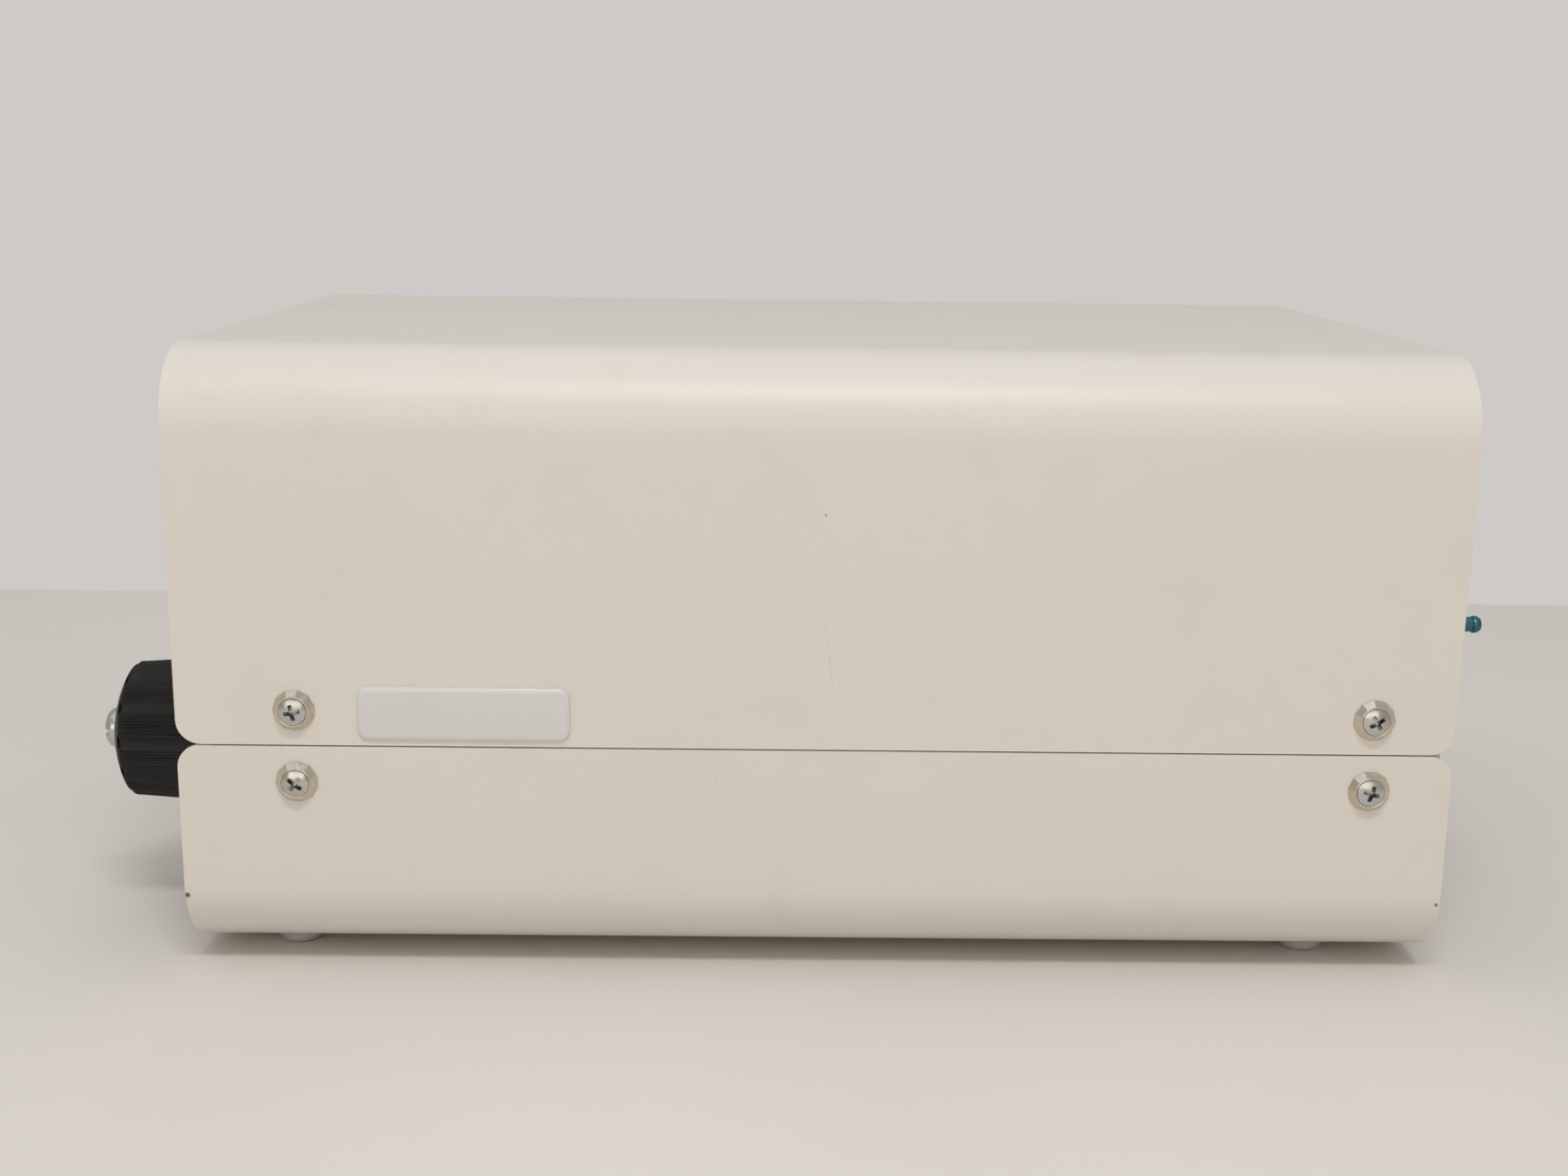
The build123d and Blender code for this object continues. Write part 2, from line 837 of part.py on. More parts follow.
with BuildPart() as valve_body:
    with Locations(((front_back + valve_back) / 2, knob_y, knob_z)):
        Box(valve_block_length, valve_block, valve_block)
    chamfer(valve_body.edges().filter_by(Axis.X), 2.0)
    add(
        turned(
            (bonnet_front, 0),
            (bonnet_front, bonnet_radius - 0.8),
            (bonnet_front + 0.8, bonnet_radius),
            (front_back, bonnet_radius),
            (front_back, 0),
            y=knob_y,
            z=knob_z,
        )
    )
    add(
        turned(
            (bonnet_front, 0),
            (bonnet_front, spindle_radius + running_gap),
            (groove_front, spindle_radius + running_gap),
            (groove_front, spindle_radius + 2 * running_gap + 2 * seal_wire_radius),
            (groove_front + seal_groove_width, spindle_radius + 2 * running_gap + 2 * seal_wire_radius),
            (groove_front + seal_groove_width, spindle_radius + running_gap),
            (chamber_front, spindle_radius + running_gap),
            (chamber_front, 0),
            y=knob_y,
            z=knob_z,
        ),
        mode=Mode.SUBTRACT,
    )
    with BuildSketch(rearward_plane(chamber_front, knob_y, knob_z)):
        Rectangle(chamber_width, chamber_width)
    extrude(amount=seat_front - chamber_front, mode=Mode.SUBTRACT)
    with Locations(rearward_plane(valve_back, knob_y, knob_z)):
        Hole(seat_radius, depth=valve_back - seat_front)
        Hole(port_radius, depth=valve_back - seat_back)
    with Locations((outlet_port_x, knob_y, valve_top)):
        Hole(port_radius, depth=valve_block / 2)
valve_body.part.label = "valve_body"

with BuildPart() as valve_nut:
    with BuildSketch(forward_plane(front_face, knob_y, knob_z)):
        RegularPolygon(valve_nut_flats / 2, 6, major_radius=False)
        Circle(bonnet_radius + screw_gap, mode=Mode.SUBTRACT)
    extrude(amount=valve_nut_height)
valve_nut.part.label = "valve_nut"

knob_bore_end = knob_face + knob_web
knob_screw_hole_end = knob_face + knob_screw_length + 1.0
with BuildPart() as valve_spindle:
    add(
        turned(
            (knob_bore_end + screw_gap, 0),
            (knob_bore_end + screw_gap, spindle_radius - 0.5),
            (knob_bore_end + screw_gap + 0.5, spindle_radius),
            (spindle_shoulder, spindle_radius),
            (spindle_shoulder, spindle_tail_radius),
            (spindle_shoulder + spindle_tail_length, spindle_tail_radius),
            (spindle_shoulder + spindle_tail_length, 0),
            y=knob_y,
            z=knob_z,
        )
    )
    with Locations(forward_plane(knob_bore_end, knob_y, knob_z)):
        Hole(knob_screw_radius + screw_gap, depth=knob_screw_hole_end - knob_bore_end)
valve_spindle.part.label = "valve_spindle"

with BuildPart() as spindle_seal:
    seal_x = groove_front + seal_groove_width / 2
    seal_ring_radius = spindle_radius + running_gap * 1.5 + seal_wire_radius
    with BuildSketch(Plane((seal_x, knob_y, knob_z), x_dir=(1, 0, 0), z_dir=(0, -1, 0))):
        with Locations((0, seal_ring_radius)):
            Circle(seal_wire_radius)
    revolve(axis=Axis((0, knob_y, knob_z), (1, 0, 0)))
spindle_seal.part.label = "spindle_seal"

with BuildPart() as valve_needle:
    with BuildSketch(rearward_plane(carriage_front, knob_y, knob_z)):
        Rectangle(carriage_width, carriage_width)
    extrude(amount=carriage_length)
    with Locations(forward_plane(carriage_front, knob_y, knob_z)):
        Hole(spindle_tail_radius + running_gap, depth=carriage_bore_depth)
    add(
        turned(
            (carriage_back, 0),
            (carriage_back, needle_base_radius),
            (carriage_back + needle_length, needle_tip_radius),
            (carriage_back + needle_length, 0),
            y=knob_y,
            z=knob_z,
        )
    )
valve_needle.part.label = "valve_needle"

# Knob: domed face, drafted side with scalloped flutes, hollow back round its hub
dome_sag = knob_dome_radius - math.sqrt(knob_dome_radius**2 - knob_shoulder_radius**2)
knob_shoulder = knob_face + dome_sag
knob_draft = math.atan2(knob_base_radius - knob_shoulder_radius, knob_base - knob_shoulder)
flute_centre_radius = knob_shoulder_radius - knob_flute_depth + knob_flute_radius
flute_planes = []
for step in range(knob_flute_count):
    bearing = math.radians((step + 0.5) * 360 / knob_flute_count)
    across = (math.cos(bearing), math.sin(bearing))
    flute_planes.append(
        Plane(
            (
                knob_shoulder,
                knob_y + flute_centre_radius * across[0],
                knob_z + flute_centre_radius * across[1],
            ),
            z_dir=(
                math.cos(knob_draft),
                math.sin(knob_draft) * across[0],
                math.sin(knob_draft) * across[1],
            ),
        )
    )
with BuildPart() as knob:
    with BuildSketch(Plane((0, knob_y, knob_z), x_dir=(1, 0, 0), z_dir=(0, -1, 0))):
        with BuildLine():
            dome = RadiusArc(
                (knob_face, 0), (knob_shoulder, knob_shoulder_radius), knob_dome_radius
            )
            Polyline(dome @ 1, (knob_base, knob_base_radius), (knob_base, 0), dome @ 0)
        make_face()
    revolve(axis=Axis((0, knob_y, knob_z), (1, 0, 0)))
    rim = knob.edges().filter_by(GeomType.CIRCLE).sort_by(SortBy.RADIUS)[0]
    fillet(rim, knob_rim_rounding)
    with Locations(*flute_planes):
        Cylinder(knob_flute_radius, 3 * knob_depth, mode=Mode.SUBTRACT)
    with BuildSketch(forward_plane(knob_base, knob_y, knob_z)):
        Circle(knob_hollow_radius)
    extrude(amount=knob_hollow_depth, mode=Mode.SUBTRACT)
    with BuildSketch(forward_plane(knob_base - knob_hub_setback, knob_y, knob_z)):
        Circle(knob_hub_radius)
    extrude(amount=knob_hollow_depth - knob_hub_setback)
    with Locations(rearward_plane(knob_base, knob_y, knob_z)):
        Hole(spindle_radius + screw_gap, depth=knob_base - knob_bore_end)
        Hole(knob_screw_radius + hole_gap, depth=knob_depth)
knob.part.label = "knob"

with BuildPart() as knob_screw:
    add(
        turned(
            (knob_tip, 0),
            (knob_tip, knob_screw_head_radius),
            (knob_face, knob_screw_head_radius),
            (knob_face, knob_screw_radius),
            (knob_face + knob_screw_length, knob_screw_radius),
            (knob_face + knob_screw_length, 0),
            y=knob_y,
            z=knob_z,
        )
    )
    head_rim = knob_screw.edges().filter_by(GeomType.CIRCLE).sort_by(Axis.X)[0]
    fillet(head_rim, knob_screw_head_rounding)
    with Locations((knob_tip, knob_y, knob_z)):
        Box(
            2 * knob_screw_slot_depth,
            2 * knob_screw_head_radius,
            knob_screw_slot_width,
            mode=Mode.SUBTRACT,
        )
knob_screw.part.label = "knob_screw"


# Hose nipples: flats outside the rear panel, a nut and a tail inside it
nipple_tip = rear_edge + nipple_reach
nipple_tail_end = rear_back - nipple_tail_length


def hose_nipple(y):
    """Turned nipple with one barb at its tip, hex flats and a bore from end to end."""
    land_end = nipple_tip - nipple_barb_taper
    land_start = land_end - nipple_barb_land
    collar_end = rear_face + nipple_hex_height + nipple_collar_length
    with BuildPart() as form:
        add(
            turned(
                (nipple_tail_end, nipple_bore_radius),
                (nipple_tail_end, nipple_tail_radius),
                (rear_back - nipple_nut_height - 2.0, nipple_tail_radius),
                (rear_back - nipple_nut_height - 2.0, nipple_thread_radius),
                (rear_face, nipple_thread_radius),
                (collar_end, nipple_collar_radius),
                (collar_end, nipple_shank_radius),
                (land_start - 0.3, nipple_shank_radius),
                (land_start, nipple_barb_radius),
                (land_end, nipple_barb_radius),
                (nipple_tip, nipple_tip_radius),
                (nipple_tip, nipple_bore_radius),
                y=y,
                z=nipple_z,
            )
        )
        with BuildSketch(rearward_plane(rear_face, y, nipple_z)):
            RegularPolygon(nipple_hex_flats / 2, 6, major_radius=False)
            Circle(nipple_bore_radius, mode=Mode.SUBTRACT)
        extrude(amount=nipple_hex_height)
    return form.part


with BuildPart() as gas_inlet_nipple:
    add(hose_nipple(inlet_y))
gas_inlet_nipple.part.label = "gas_inlet_nipple"

with BuildPart() as gas_outlet_nipple:
    add(hose_nipple(outlet_y))
gas_outlet_nipple.part.label = "gas_outlet_nipple"

with BuildPart() as nipple_nuts:
    with BuildSketch(Plane.YZ.offset(rear_back - nipple_nut_height)):
        with Locations(*[(y, nipple_z) for y in nipple_ys]):
            RegularPolygon(nipple_nut_flats / 2, 6, major_radius=False)
            Circle(nipple_thread_radius + screw_gap, mode=Mode.SUBTRACT)
    extrude(amount=nipple_nut_height)
nipple_nuts.part.label = "nipple_nuts"

# Solenoid valve: inlet from the rear, orifice under the plunger, outlet to the front
bracket_top = rail_top + bracket_wall
solenoid_top = bracket_top + solenoid_block_height
chamber_floor_z = bracket_top + solenoid_chamber_floor
guide_top = solenoid_top + guide_height
guide_radius = plunger_radius + running_gap
solenoid_front = solenoid_x - solenoid_block / 2
solenoid_back = solenoid_x + solenoid_block / 2

with BuildPart() as solenoid_bracket:
    with BuildSketch(Plane.XY.offset(rail_top)):
        with Locations((solenoid_x, -rail_outer_y)):
            Rectangle(
                bracket_width,
                inlet_y + solenoid_block / 2 + rail_outer_y,
                align=(Align.CENTER, Align.MIN),
            )
        with Locations(*bracket_screw_spots):
            Circle(pan_radius + hole_gap, mode=Mode.SUBTRACT)
    extrude(amount=bracket_wall)
    with BuildSketch(Plane.XY.offset(rail_top)):
        with Locations((solenoid_x, inlet_y + solenoid_block / 2)):
            Rectangle(bracket_width, bracket_wall, align=(Align.CENTER, Align.MIN))
    extrude(amount=-rail_height / 4)
    with BuildSketch(Plane.XY.offset(bracket_top)):
        with Locations((solenoid_x, inlet_y + solenoid_block / 2)):
            Rectangle(bracket_width, bracket_wall, align=(Align.CENTER, Align.MIN))
    extrude(amount=-bracket_wall)
solenoid_bracket.part.label = "solenoid_bracket"

with BuildPart() as solenoid_body:
    with Locations((solenoid_x, inlet_y, (bracket_top + solenoid_top) / 2)):
        Box(solenoid_block, solenoid_block, solenoid_block_height)
    chamfer(solenoid_body.edges().filter_by(Axis.Z), 2.0)
    with BuildSketch(Plane.XY.offset(solenoid_top)):
        with Locations((solenoid_x, inlet_y)):
            Circle(guide_radius + guide_wall)
    extrude(amount=guide_height)
    with BuildSketch(Plane.XY.offset(chamber_floor_z)):
        with Locations((solenoid_x, inlet_y)):
            Circle(guide_radius)
    extrude(amount=guide_top - guide_wall - chamber_floor_z, mode=Mode.SUBTRACT)
    with Locations((solenoid_x, inlet_y, chamber_floor_z)):
        Hole(orifice_radius, depth=chamber_floor_z - nipple_z)
    with Locations((solenoid_x + riser_offset, inlet_y, chamber_floor_z)):
        Hole(riser_radius, depth=chamber_floor_z - nipple_z)
    with Locations(rearward_plane(solenoid_back, inlet_y, nipple_z)):
        Hole(port_radius, depth=solenoid_block / 2 - riser_offset + riser_radius)
    with Locations(forward_plane(solenoid_front, inlet_y, nipple_z)):
        Hole(port_radius, depth=solenoid_block / 2 + orifice_radius)
solenoid_body.part.label = "solenoid_body"

with BuildPart() as solenoid_coil:
    with BuildSketch(Plane.XY.offset(solenoid_top)):
        with Locations((solenoid_x, inlet_y)):
            RectangleRounded(coil_length, coil_width, coil_rounding)
            Circle(guide_radius + guide_wall + screw_gap, mode=Mode.SUBTRACT)
    extrude(amount=coil_height)
solenoid_coil.part.label = "solenoid_coil"

plunger_nose_z = chamber_floor_z + screw_gap
plunger_top = plunger_nose_z + plunger_nose_height + plunger_length
with BuildPart() as solenoid_plunger:
    with BuildSketch(Plane.XY.offset(plunger_nose_z)):
        with Locations((solenoid_x, inlet_y)):
            Circle(plunger_nose_radius)
    extrude(amount=plunger_nose_height)
    with BuildSketch(Plane.XY.offset(plunger_nose_z + plunger_nose_height)):
        with Locations((solenoid_x, inlet_y)):
            Circle(plunger_radius)
    extrude(amount=plunger_length)
solenoid_plunger.part.label = "solenoid_plunger"

spring_room = guide_top - guide_wall - plunger_top
spring_rise = spring_room - 2 * spring_wire_radius - 2 * screw_gap
with BuildPart() as solenoid_spring:
    with BuildLine():
        coil_line = Helix(
            spring_rise / spring_turns,
            spring_rise,
            spring_radius,
            center=(solenoid_x, inlet_y, plunger_top + spring_wire_radius + screw_gap),
        )
    with BuildSketch(Plane(coil_line @ 0, z_dir=coil_line % 0)):
        RegularPolygon(spring_wire_radius, 6)
    sweep(path=coil_line, is_frenet=True)
solenoid_spring.part.label = "solenoid_spring"

# Gas hoses, whole from fitting to fitting
with BuildPart() as inlet_hose:
    add(hose((nipple_tail_end, inlet_y, nipple_z), (solenoid_back, inlet_y, nipple_z)))
inlet_hose.part.label = "inlet_hose"

with BuildPart() as valve_hose:
    add(
        hose(
            (solenoid_front, inlet_y, nipple_z),
            (34.0, inlet_y, nipple_z),
            (-14.0, inlet_y - 7.0, nipple_z - 14.0),
            (-66.0, knob_y, knob_z),
            (valve_back, knob_y, knob_z),
        )
    )
valve_hose.part.label = "valve_hose"

with BuildPart() as outlet_hose:
    add(
        hose(
            (outlet_port_x, knob_y, valve_top),
            (outlet_port_x, knob_y, valve_top + 26.0),
            (-114.0, knob_y + 1.0, 118.0),
            (-76.0, knob_y + 4.0, 134.0),
            (-24.0, knob_y + 9.0, 134.0),
            (30.0, outlet_y - 4.0, 122.0),
            (74.0, outlet_y + 2.0, 102.0),
            (112.0, outlet_y, nipple_z),
            (nipple_tail_end, outlet_y, nipple_z),
        )
    )
outlet_hose.part.label = "outlet_hose"

# Mains inlet: socket above, fuse drawer below, in one moulded body
socket_z = inlet_centre_z + socket_rise
drawer_z = inlet_centre_z - drawer_drop
inlet_face = rear_face + inlet_flange_wall
with BuildPart() as mains_inlet:
    with BuildSketch(rearward_plane(rear_face, inlet_centre_y, inlet_centre_z)):
        RectangleRounded(inlet_flange_width, inlet_flange_height, 2.0)
    extrude(amount=inlet_flange_wall)
    with BuildSketch(forward_plane(rear_face, inlet_centre_y, inlet_centre_z)):
        Rectangle(inlet_body_width, inlet_body_height)
    extrude(amount=inlet_body_depth)
    with BuildSketch(forward_plane(inlet_face, inlet_centre_y, socket_z)) as socket_outline:
        Rectangle(socket_width, socket_height)
        chamfer(socket_outline.vertices().group_by(Axis.Y)[-1], socket_chamfer)
    extrude(amount=socket_depth, mode=Mode.SUBTRACT)
    with BuildSketch(forward_plane(inlet_face, inlet_centre_y, drawer_z)):
        Rectangle(drawer_width + 2 * cutout_gap, drawer_height + 2 * cutout_gap)
    extrude(amount=drawer_depth + cutout_gap, mode=Mode.SUBTRACT)
mains_inlet.part.label = "mains_inlet"

pin_root = inlet_face - socket_depth
with BuildPart() as inlet_pins:
    with BuildSketch(rearward_plane(pin_root, inlet_centre_y, socket_z)):
        with Locations((-pin_pitch / 2, 0), (pin_pitch / 2, 0), (0, pin_rise)):
            Rectangle(pin_width, pin_height)
    extrude(amount=pin_length)
    chamfer(inlet_pins.faces().filter_by(Axis.X).group_by(Axis.X)[-1].edges(), 0.5)
inlet_pins.part.label = "inlet_pins"

drawer_back = inlet_face - drawer_depth
fuse_pocket = 2 * (fuse_radius + fuse_gap)
fuse_spots = [drawer_back + drawer_depth * share for share in (0.26, 0.66)]
with BuildPart() as fuse_drawer:
    with Locations(((drawer_back + inlet_face) / 2, inlet_centre_y, drawer_z)):
        Box(drawer_depth, drawer_width, drawer_height)
    with Locations(*[(x, inlet_centre_y, drawer_z + drawer_height / 2) for x in fuse_spots]):
        Box(
            fuse_pocket,
            fuse_length + 2 * fuse_gap,
            2 * (drawer_height - drawer_face_wall),
            mode=Mode.SUBTRACT,
        )
    with BuildSketch(rearward_plane(inlet_face, inlet_centre_y, drawer_z)):
        RectangleRounded(drawer_width + 2.0, drawer_height + 2.0, 1.0)
    extrude(amount=drawer_face_wall / 4)
    with BuildSketch(rearward_plane(inlet_face, inlet_centre_y, drawer_z + drawer_height / 2)):
        Rectangle(drawer_width / 2, drawer_lip, align=(Align.CENTER, Align.MAX))
    extrude(amount=drawer_face_wall / 4)
fuse_drawer.part.label = "fuse_drawer"

fuse_z = drawer_z - drawer_height / 2 + drawer_face_wall + fuse_radius
with BuildPart() as fuses:
    with Locations(*[Plane((x, inlet_centre_y, fuse_z), z_dir=(0, 1, 0)) for x in fuse_spots]):
        Cylinder(fuse_radius * 0.88, fuse_length)
        Cylinder(fuse_radius, fuse_length * 0.28, align=(Align.CENTER, Align.CENTER, Align.CENTER), mode=Mode.PRIVATE)
    for end in (-1, 1):
        cap_y = inlet_centre_y + end * fuse_length * 0.37
        with Locations(*[Plane((x, cap_y, fuse_z), z_dir=(0, 1, 0)) for x in fuse_spots]):
            Cylinder(fuse_radius, fuse_length * 0.26)
fuses.part.label = "fuses"

# Round sensor sockets with their nuts
sensor_front = rear_face + sensor_flange_wall
with BuildPart() as sensor_sockets:
    for sensor_y in sensor_ys:
        add(
            turned(
                (rear_face - sensor_body_depth, 0),
                (rear_face - sensor_body_depth, sensor_body_radius),
                (rear_face, sensor_body_radius),
                (rear_face, sensor_flange_radius),
                (sensor_front - 0.6, sensor_flange_radius),
                (sensor_front, sensor_flange_radius - 0.6),
                (sensor_front, sensor_bore_radius),
                (sensor_front - sensor_bore_depth, sensor_bore_radius),
                (sensor_front - sensor_bore_depth, 0),
                y=sensor_y,
                z=sensor_z,
            )
        )
    contact_face = sensor_front - sensor_bore_depth
    with BuildSketch(Plane.YZ.offset(contact_face)):
        with Locations(*[(y, sensor_z) for y in sensor_ys]):
            with PolarLocations(sensor_contact_circle, sensor_contact_count):
                Circle(sensor_contact_radius)
    extrude(amount=-sensor_bore_depth / 2, mode=Mode.SUBTRACT)
sensor_sockets.part.label = "sensor_sockets"

with BuildPart() as socket_nuts:
    with BuildSketch(Plane.YZ.offset(rear_back - sensor_nut_height)):
        with Locations(*[(y, sensor_z) for y in sensor_ys]):
            RegularPolygon(sensor_nut_flats / 2, 6, major_radius=False)
            Circle(sensor_body_radius + screw_gap, mode=Mode.SUBTRACT)
    extrude(amount=sensor_nut_height)
socket_nuts.part.label = "socket_nuts"

# Fan: the rotor turns on a pin that stands in the motor boss
fan_front = rear_back - fan_depth
fan_boss_back = fan_front + fan_boss_depth
fan_hub_front = fan_boss_back + fan_hub_gap
fan_hub_back = rear_back - fan_hub_inset
with BuildPart() as fan_housing:
    with BuildSketch(rearward_plane(fan_front, fan_y, fan_z)):
        RectangleRounded(fan_size, fan_size, fan_corner)
        Circle(fan_bore_radius, mode=Mode.SUBTRACT)
        with GridLocations(fan_hole_spacing, fan_hole_spacing, 2, 2):
            Circle(pan_radius + screw_gap, mode=Mode.SUBTRACT)
    extrude(amount=fan_depth)
    with BuildSketch(rearward_plane(fan_front, fan_y, fan_z)):
        Circle(fan_boss_radius)
        with PolarLocations((fan_boss_radius + fan_bore_radius) / 2, 3, start_angle=90):
            Rectangle(fan_bore_radius - fan_boss_radius + 4.0, fan_strut_width)
    extrude(amount=fan_boss_depth)
    with BuildSketch(rearward_plane(fan_boss_back, fan_y, fan_z)):
        Circle(fan_shaft_radius)
    extrude(amount=fan_hub_back - fan_hub_wall - fan_boss_back)
fan_housing.part.label = "fan_housing"

blade_middle = (fan_hub_front + fan_hub_back) / 2
with BuildPart() as fan_rotor:
    for step in range(fan_blade_count):
        bearing = math.radians(step * 360 / fan_blade_count)
        outward = (0, math.cos(bearing), math.sin(bearing))
        with BuildSketch(Plane((blade_middle, fan_y, fan_z), x_dir=(1, 0, 0), z_dir=outward)):
            Rectangle(fan_blade_chord, fan_blade_wall, rotation=fan_blade_pitch)
        extrude(amount=fan_blade_radius + 1.0)
    with BuildSketch(rearward_plane(fan_hub_front, fan_y, fan_z)):
        Circle(fan_blade_radius)
    extrude(amount=fan_hub_back - fan_hub_front, mode=Mode.INTERSECT)
    with BuildSketch(rearward_plane(fan_hub_front, fan_y, fan_z)):
        Circle(fan_hub_radius)
    extrude(amount=fan_hub_back - fan_hub_front)
    with Locations(forward_plane(fan_hub_front, fan_y, fan_z)):
        Hole(fan_shaft_radius + running_gap, depth=fan_hub_back - fan_hub_wall * 0.8 - fan_hub_front)
fan_rotor.part.label = "fan_rotor"

with BuildPart() as fan_guard:
    with BuildSketch(rearward_plane(rear_face, fan_y, fan_z)):
        for ring in range(guard_ring_count):
            ring_radius = fan_bore_radius - ring * guard_ring_pitch
            Circle(ring_radius)
            Circle(ring_radius - guard_ring_width, mode=Mode.SUBTRACT)
        for turn in (45, 135):
            Rectangle(fan_hole_spacing * math.sqrt(2), guard_spoke_width, rotation=turn)
        with GridLocations(fan_hole_spacing, fan_hole_spacing, 2, 2):
            Circle(guard_eye_radius)
            Circle(pan_radius + hole_gap, mode=Mode.SUBTRACT)
    extrude(amount=guard_wall)
fan_guard.part.label = "fan_guard"

fan_screw_spots = [
    (fan_y + side * fan_hole_spacing / 2, fan_z + rise * fan_hole_spacing / 2)
    for side in (-1, 1)
    for rise in (-1, 1)
]
with BuildPart() as fan_screws:
    for screw_y, screw_z in fan_screw_spots:
        add(
            turned(
                (rear_back - pan_grip, 0),
                (rear_back - pan_grip, pan_radius),
                (rear_face + guard_wall, pan_radius),
                (rear_face + guard_wall, pan_head_radius),
                (rear_face + guard_wall + 0.7, pan_head_radius),
                (rear_face + guard_wall + 1.2, pan_head_radius * 0.6),
                (rear_face + guard_wall + 1.2, 0),
                y=screw_y,
                z=screw_z,
            )
        )
fan_screws.part.label = "fan_screws"

# Toroidal transformer, clamped through its middle
core_z = floor_z + pad_wall
core_top = core_z + transformer_height
with BuildPart() as transformer_core:
    with BuildSketch(Plane.XZ.offset(-transformer_y)) as core_section:
        with Locations((transformer_x + transformer_hole_radius, core_z)):
            RectangleRounded(
                transformer_radius - transformer_hole_radius,
                transformer_height,
                transformer_rounding,
                align=(Align.MIN, Align.MIN),
            )
    revolve(axis=Axis((transformer_x, transformer_y, 0), (0, 0, 1)))
transformer_core.part.label = "transformer_core"

with BuildPart() as transformer_pads:
    for pad_z in (floor_z, core_top):
        with BuildSketch(Plane.XY.offset(pad_z)):
            with Locations((transformer_x, transformer_y)):
                Circle(pad_radius if pad_z == floor_z else plate_radius + pad_wall)
                Circle(bolt_radius + hole_gap, mode=Mode.SUBTRACT)
        extrude(amount=pad_wall)
transformer_pads.part.label = "transformer_pads"

plate_z = core_top + pad_wall
with BuildPart() as transformer_plate:
    with BuildSketch(Plane.XY.offset(plate_z)):
        with Locations((transformer_x, transformer_y)):
            Circle(plate_radius)
            Circle(bolt_radius + hole_gap, mode=Mode.SUBTRACT)
    extrude(amount=plate_wall)
transformer_plate.part.label = "transformer_plate"

bolt_seat = plate_z + plate_wall
with BuildPart() as transformer_bolt:
    with BuildSketch(Plane.XY.offset(base_z)):
        with Locations((transformer_x, transformer_y)):
            Circle(bolt_radius)
    extrude(amount=bolt_seat - base_z)
    with BuildSketch(Plane.XY.offset(bolt_seat)):
        with Locations((transformer_x, transformer_y)):
            RegularPolygon(bolt_head_flats / 2, 6, major_radius=False)
    extrude(amount=bolt_head_height)
transformer_bolt.part.label = "transformer_bolt"

# Main board and the parts soldered to it
main_board_top = main_board_z + board_wall
with BuildPart() as main_board:
    with BuildSketch(Plane.XY.offset(main_board_z)):
        with Locations((main_board_x, main_board_y)):
            Rectangle(main_board_length, main_board_width)
        with Locations(*main_spots):
            Circle(pan_radius + hole_gap, mode=Mode.SUBTRACT)
    extrude(amount=board_wall)
main_board.part.label = "main_board"

with BuildPart() as heat_sink:
    with BuildSketch(Plane.XY.offset(main_board_top)):
        with Locations((sink_x, sink_y)):
            Rectangle(sink_length, sink_width)
    extrude(amount=sink_base)
    with BuildSketch(Plane.XY.offset(main_board_top + sink_base)):
        with Locations((sink_x, sink_y)):
            fin_pitch = (sink_width - sink_fin_wall) / (sink_fin_count - 1)
            with GridLocations(0, fin_pitch, 1, sink_fin_count):
                Rectangle(sink_length, sink_fin_wall)
    extrude(amount=sink_fin_height)
heat_sink.part.label = "heat_sink"

with BuildPart() as relays:
    with BuildSketch(Plane.XY.offset(main_board_top)):
        with Locations((relay_x, relay_y), (relay_x + relay_pitch, relay_y)):
            Rectangle(relay_length, relay_width)
    extrude(amount=relay_height)
    chamfer(relays.faces().sort_by(Axis.Z)[-2:].edges(), 0.8)
relays.part.label = "relays"

with BuildPart() as capacitors:
    with BuildSketch(Plane.XY.offset(main_board_top)):
        with Locations((capacitor_x, capacitor_y), (capacitor_x + capacitor_pitch, capacitor_y)):
            Circle(capacitor_radius)
    extrude(amount=capacitor_height)
    chamfer(capacitors.faces().sort_by(Axis.Z)[-2:].edges(), 1.0)
capacitors.part.label = "capacitors"

terminal_length = terminal_count * terminal_pitch
with BuildPart() as terminal_block:
    with BuildSketch(Plane.YZ.offset(terminal_x - terminal_length / 2)):
        with BuildLine():
            Polyline(
                (terminal_y, main_board_top),
                (terminal_y + terminal_width, main_board_top),
                (terminal_y + terminal_width, main_board_top + terminal_height),
                (terminal_y + terminal_width * 0.45, main_board_top + terminal_height),
                (terminal_y, main_board_top + terminal_height * 0.6),
                close=True,
            )
        make_face()
    extrude(amount=terminal_length)
    entry = Plane(
        (terminal_x, terminal_y, main_board_top + terminal_height * 0.3),
        x_dir=(1, 0, 0),
        z_dir=(0, -1, 0),
    )
    with BuildSketch(entry):
        with GridLocations(terminal_pitch, 0, terminal_count, 1):
            Rectangle(terminal_pitch * 0.55, terminal_height * 0.3)
    extrude(amount=-terminal_width * 0.6, mode=Mode.SUBTRACT)
terminal_block.part.label = "terminal_block"

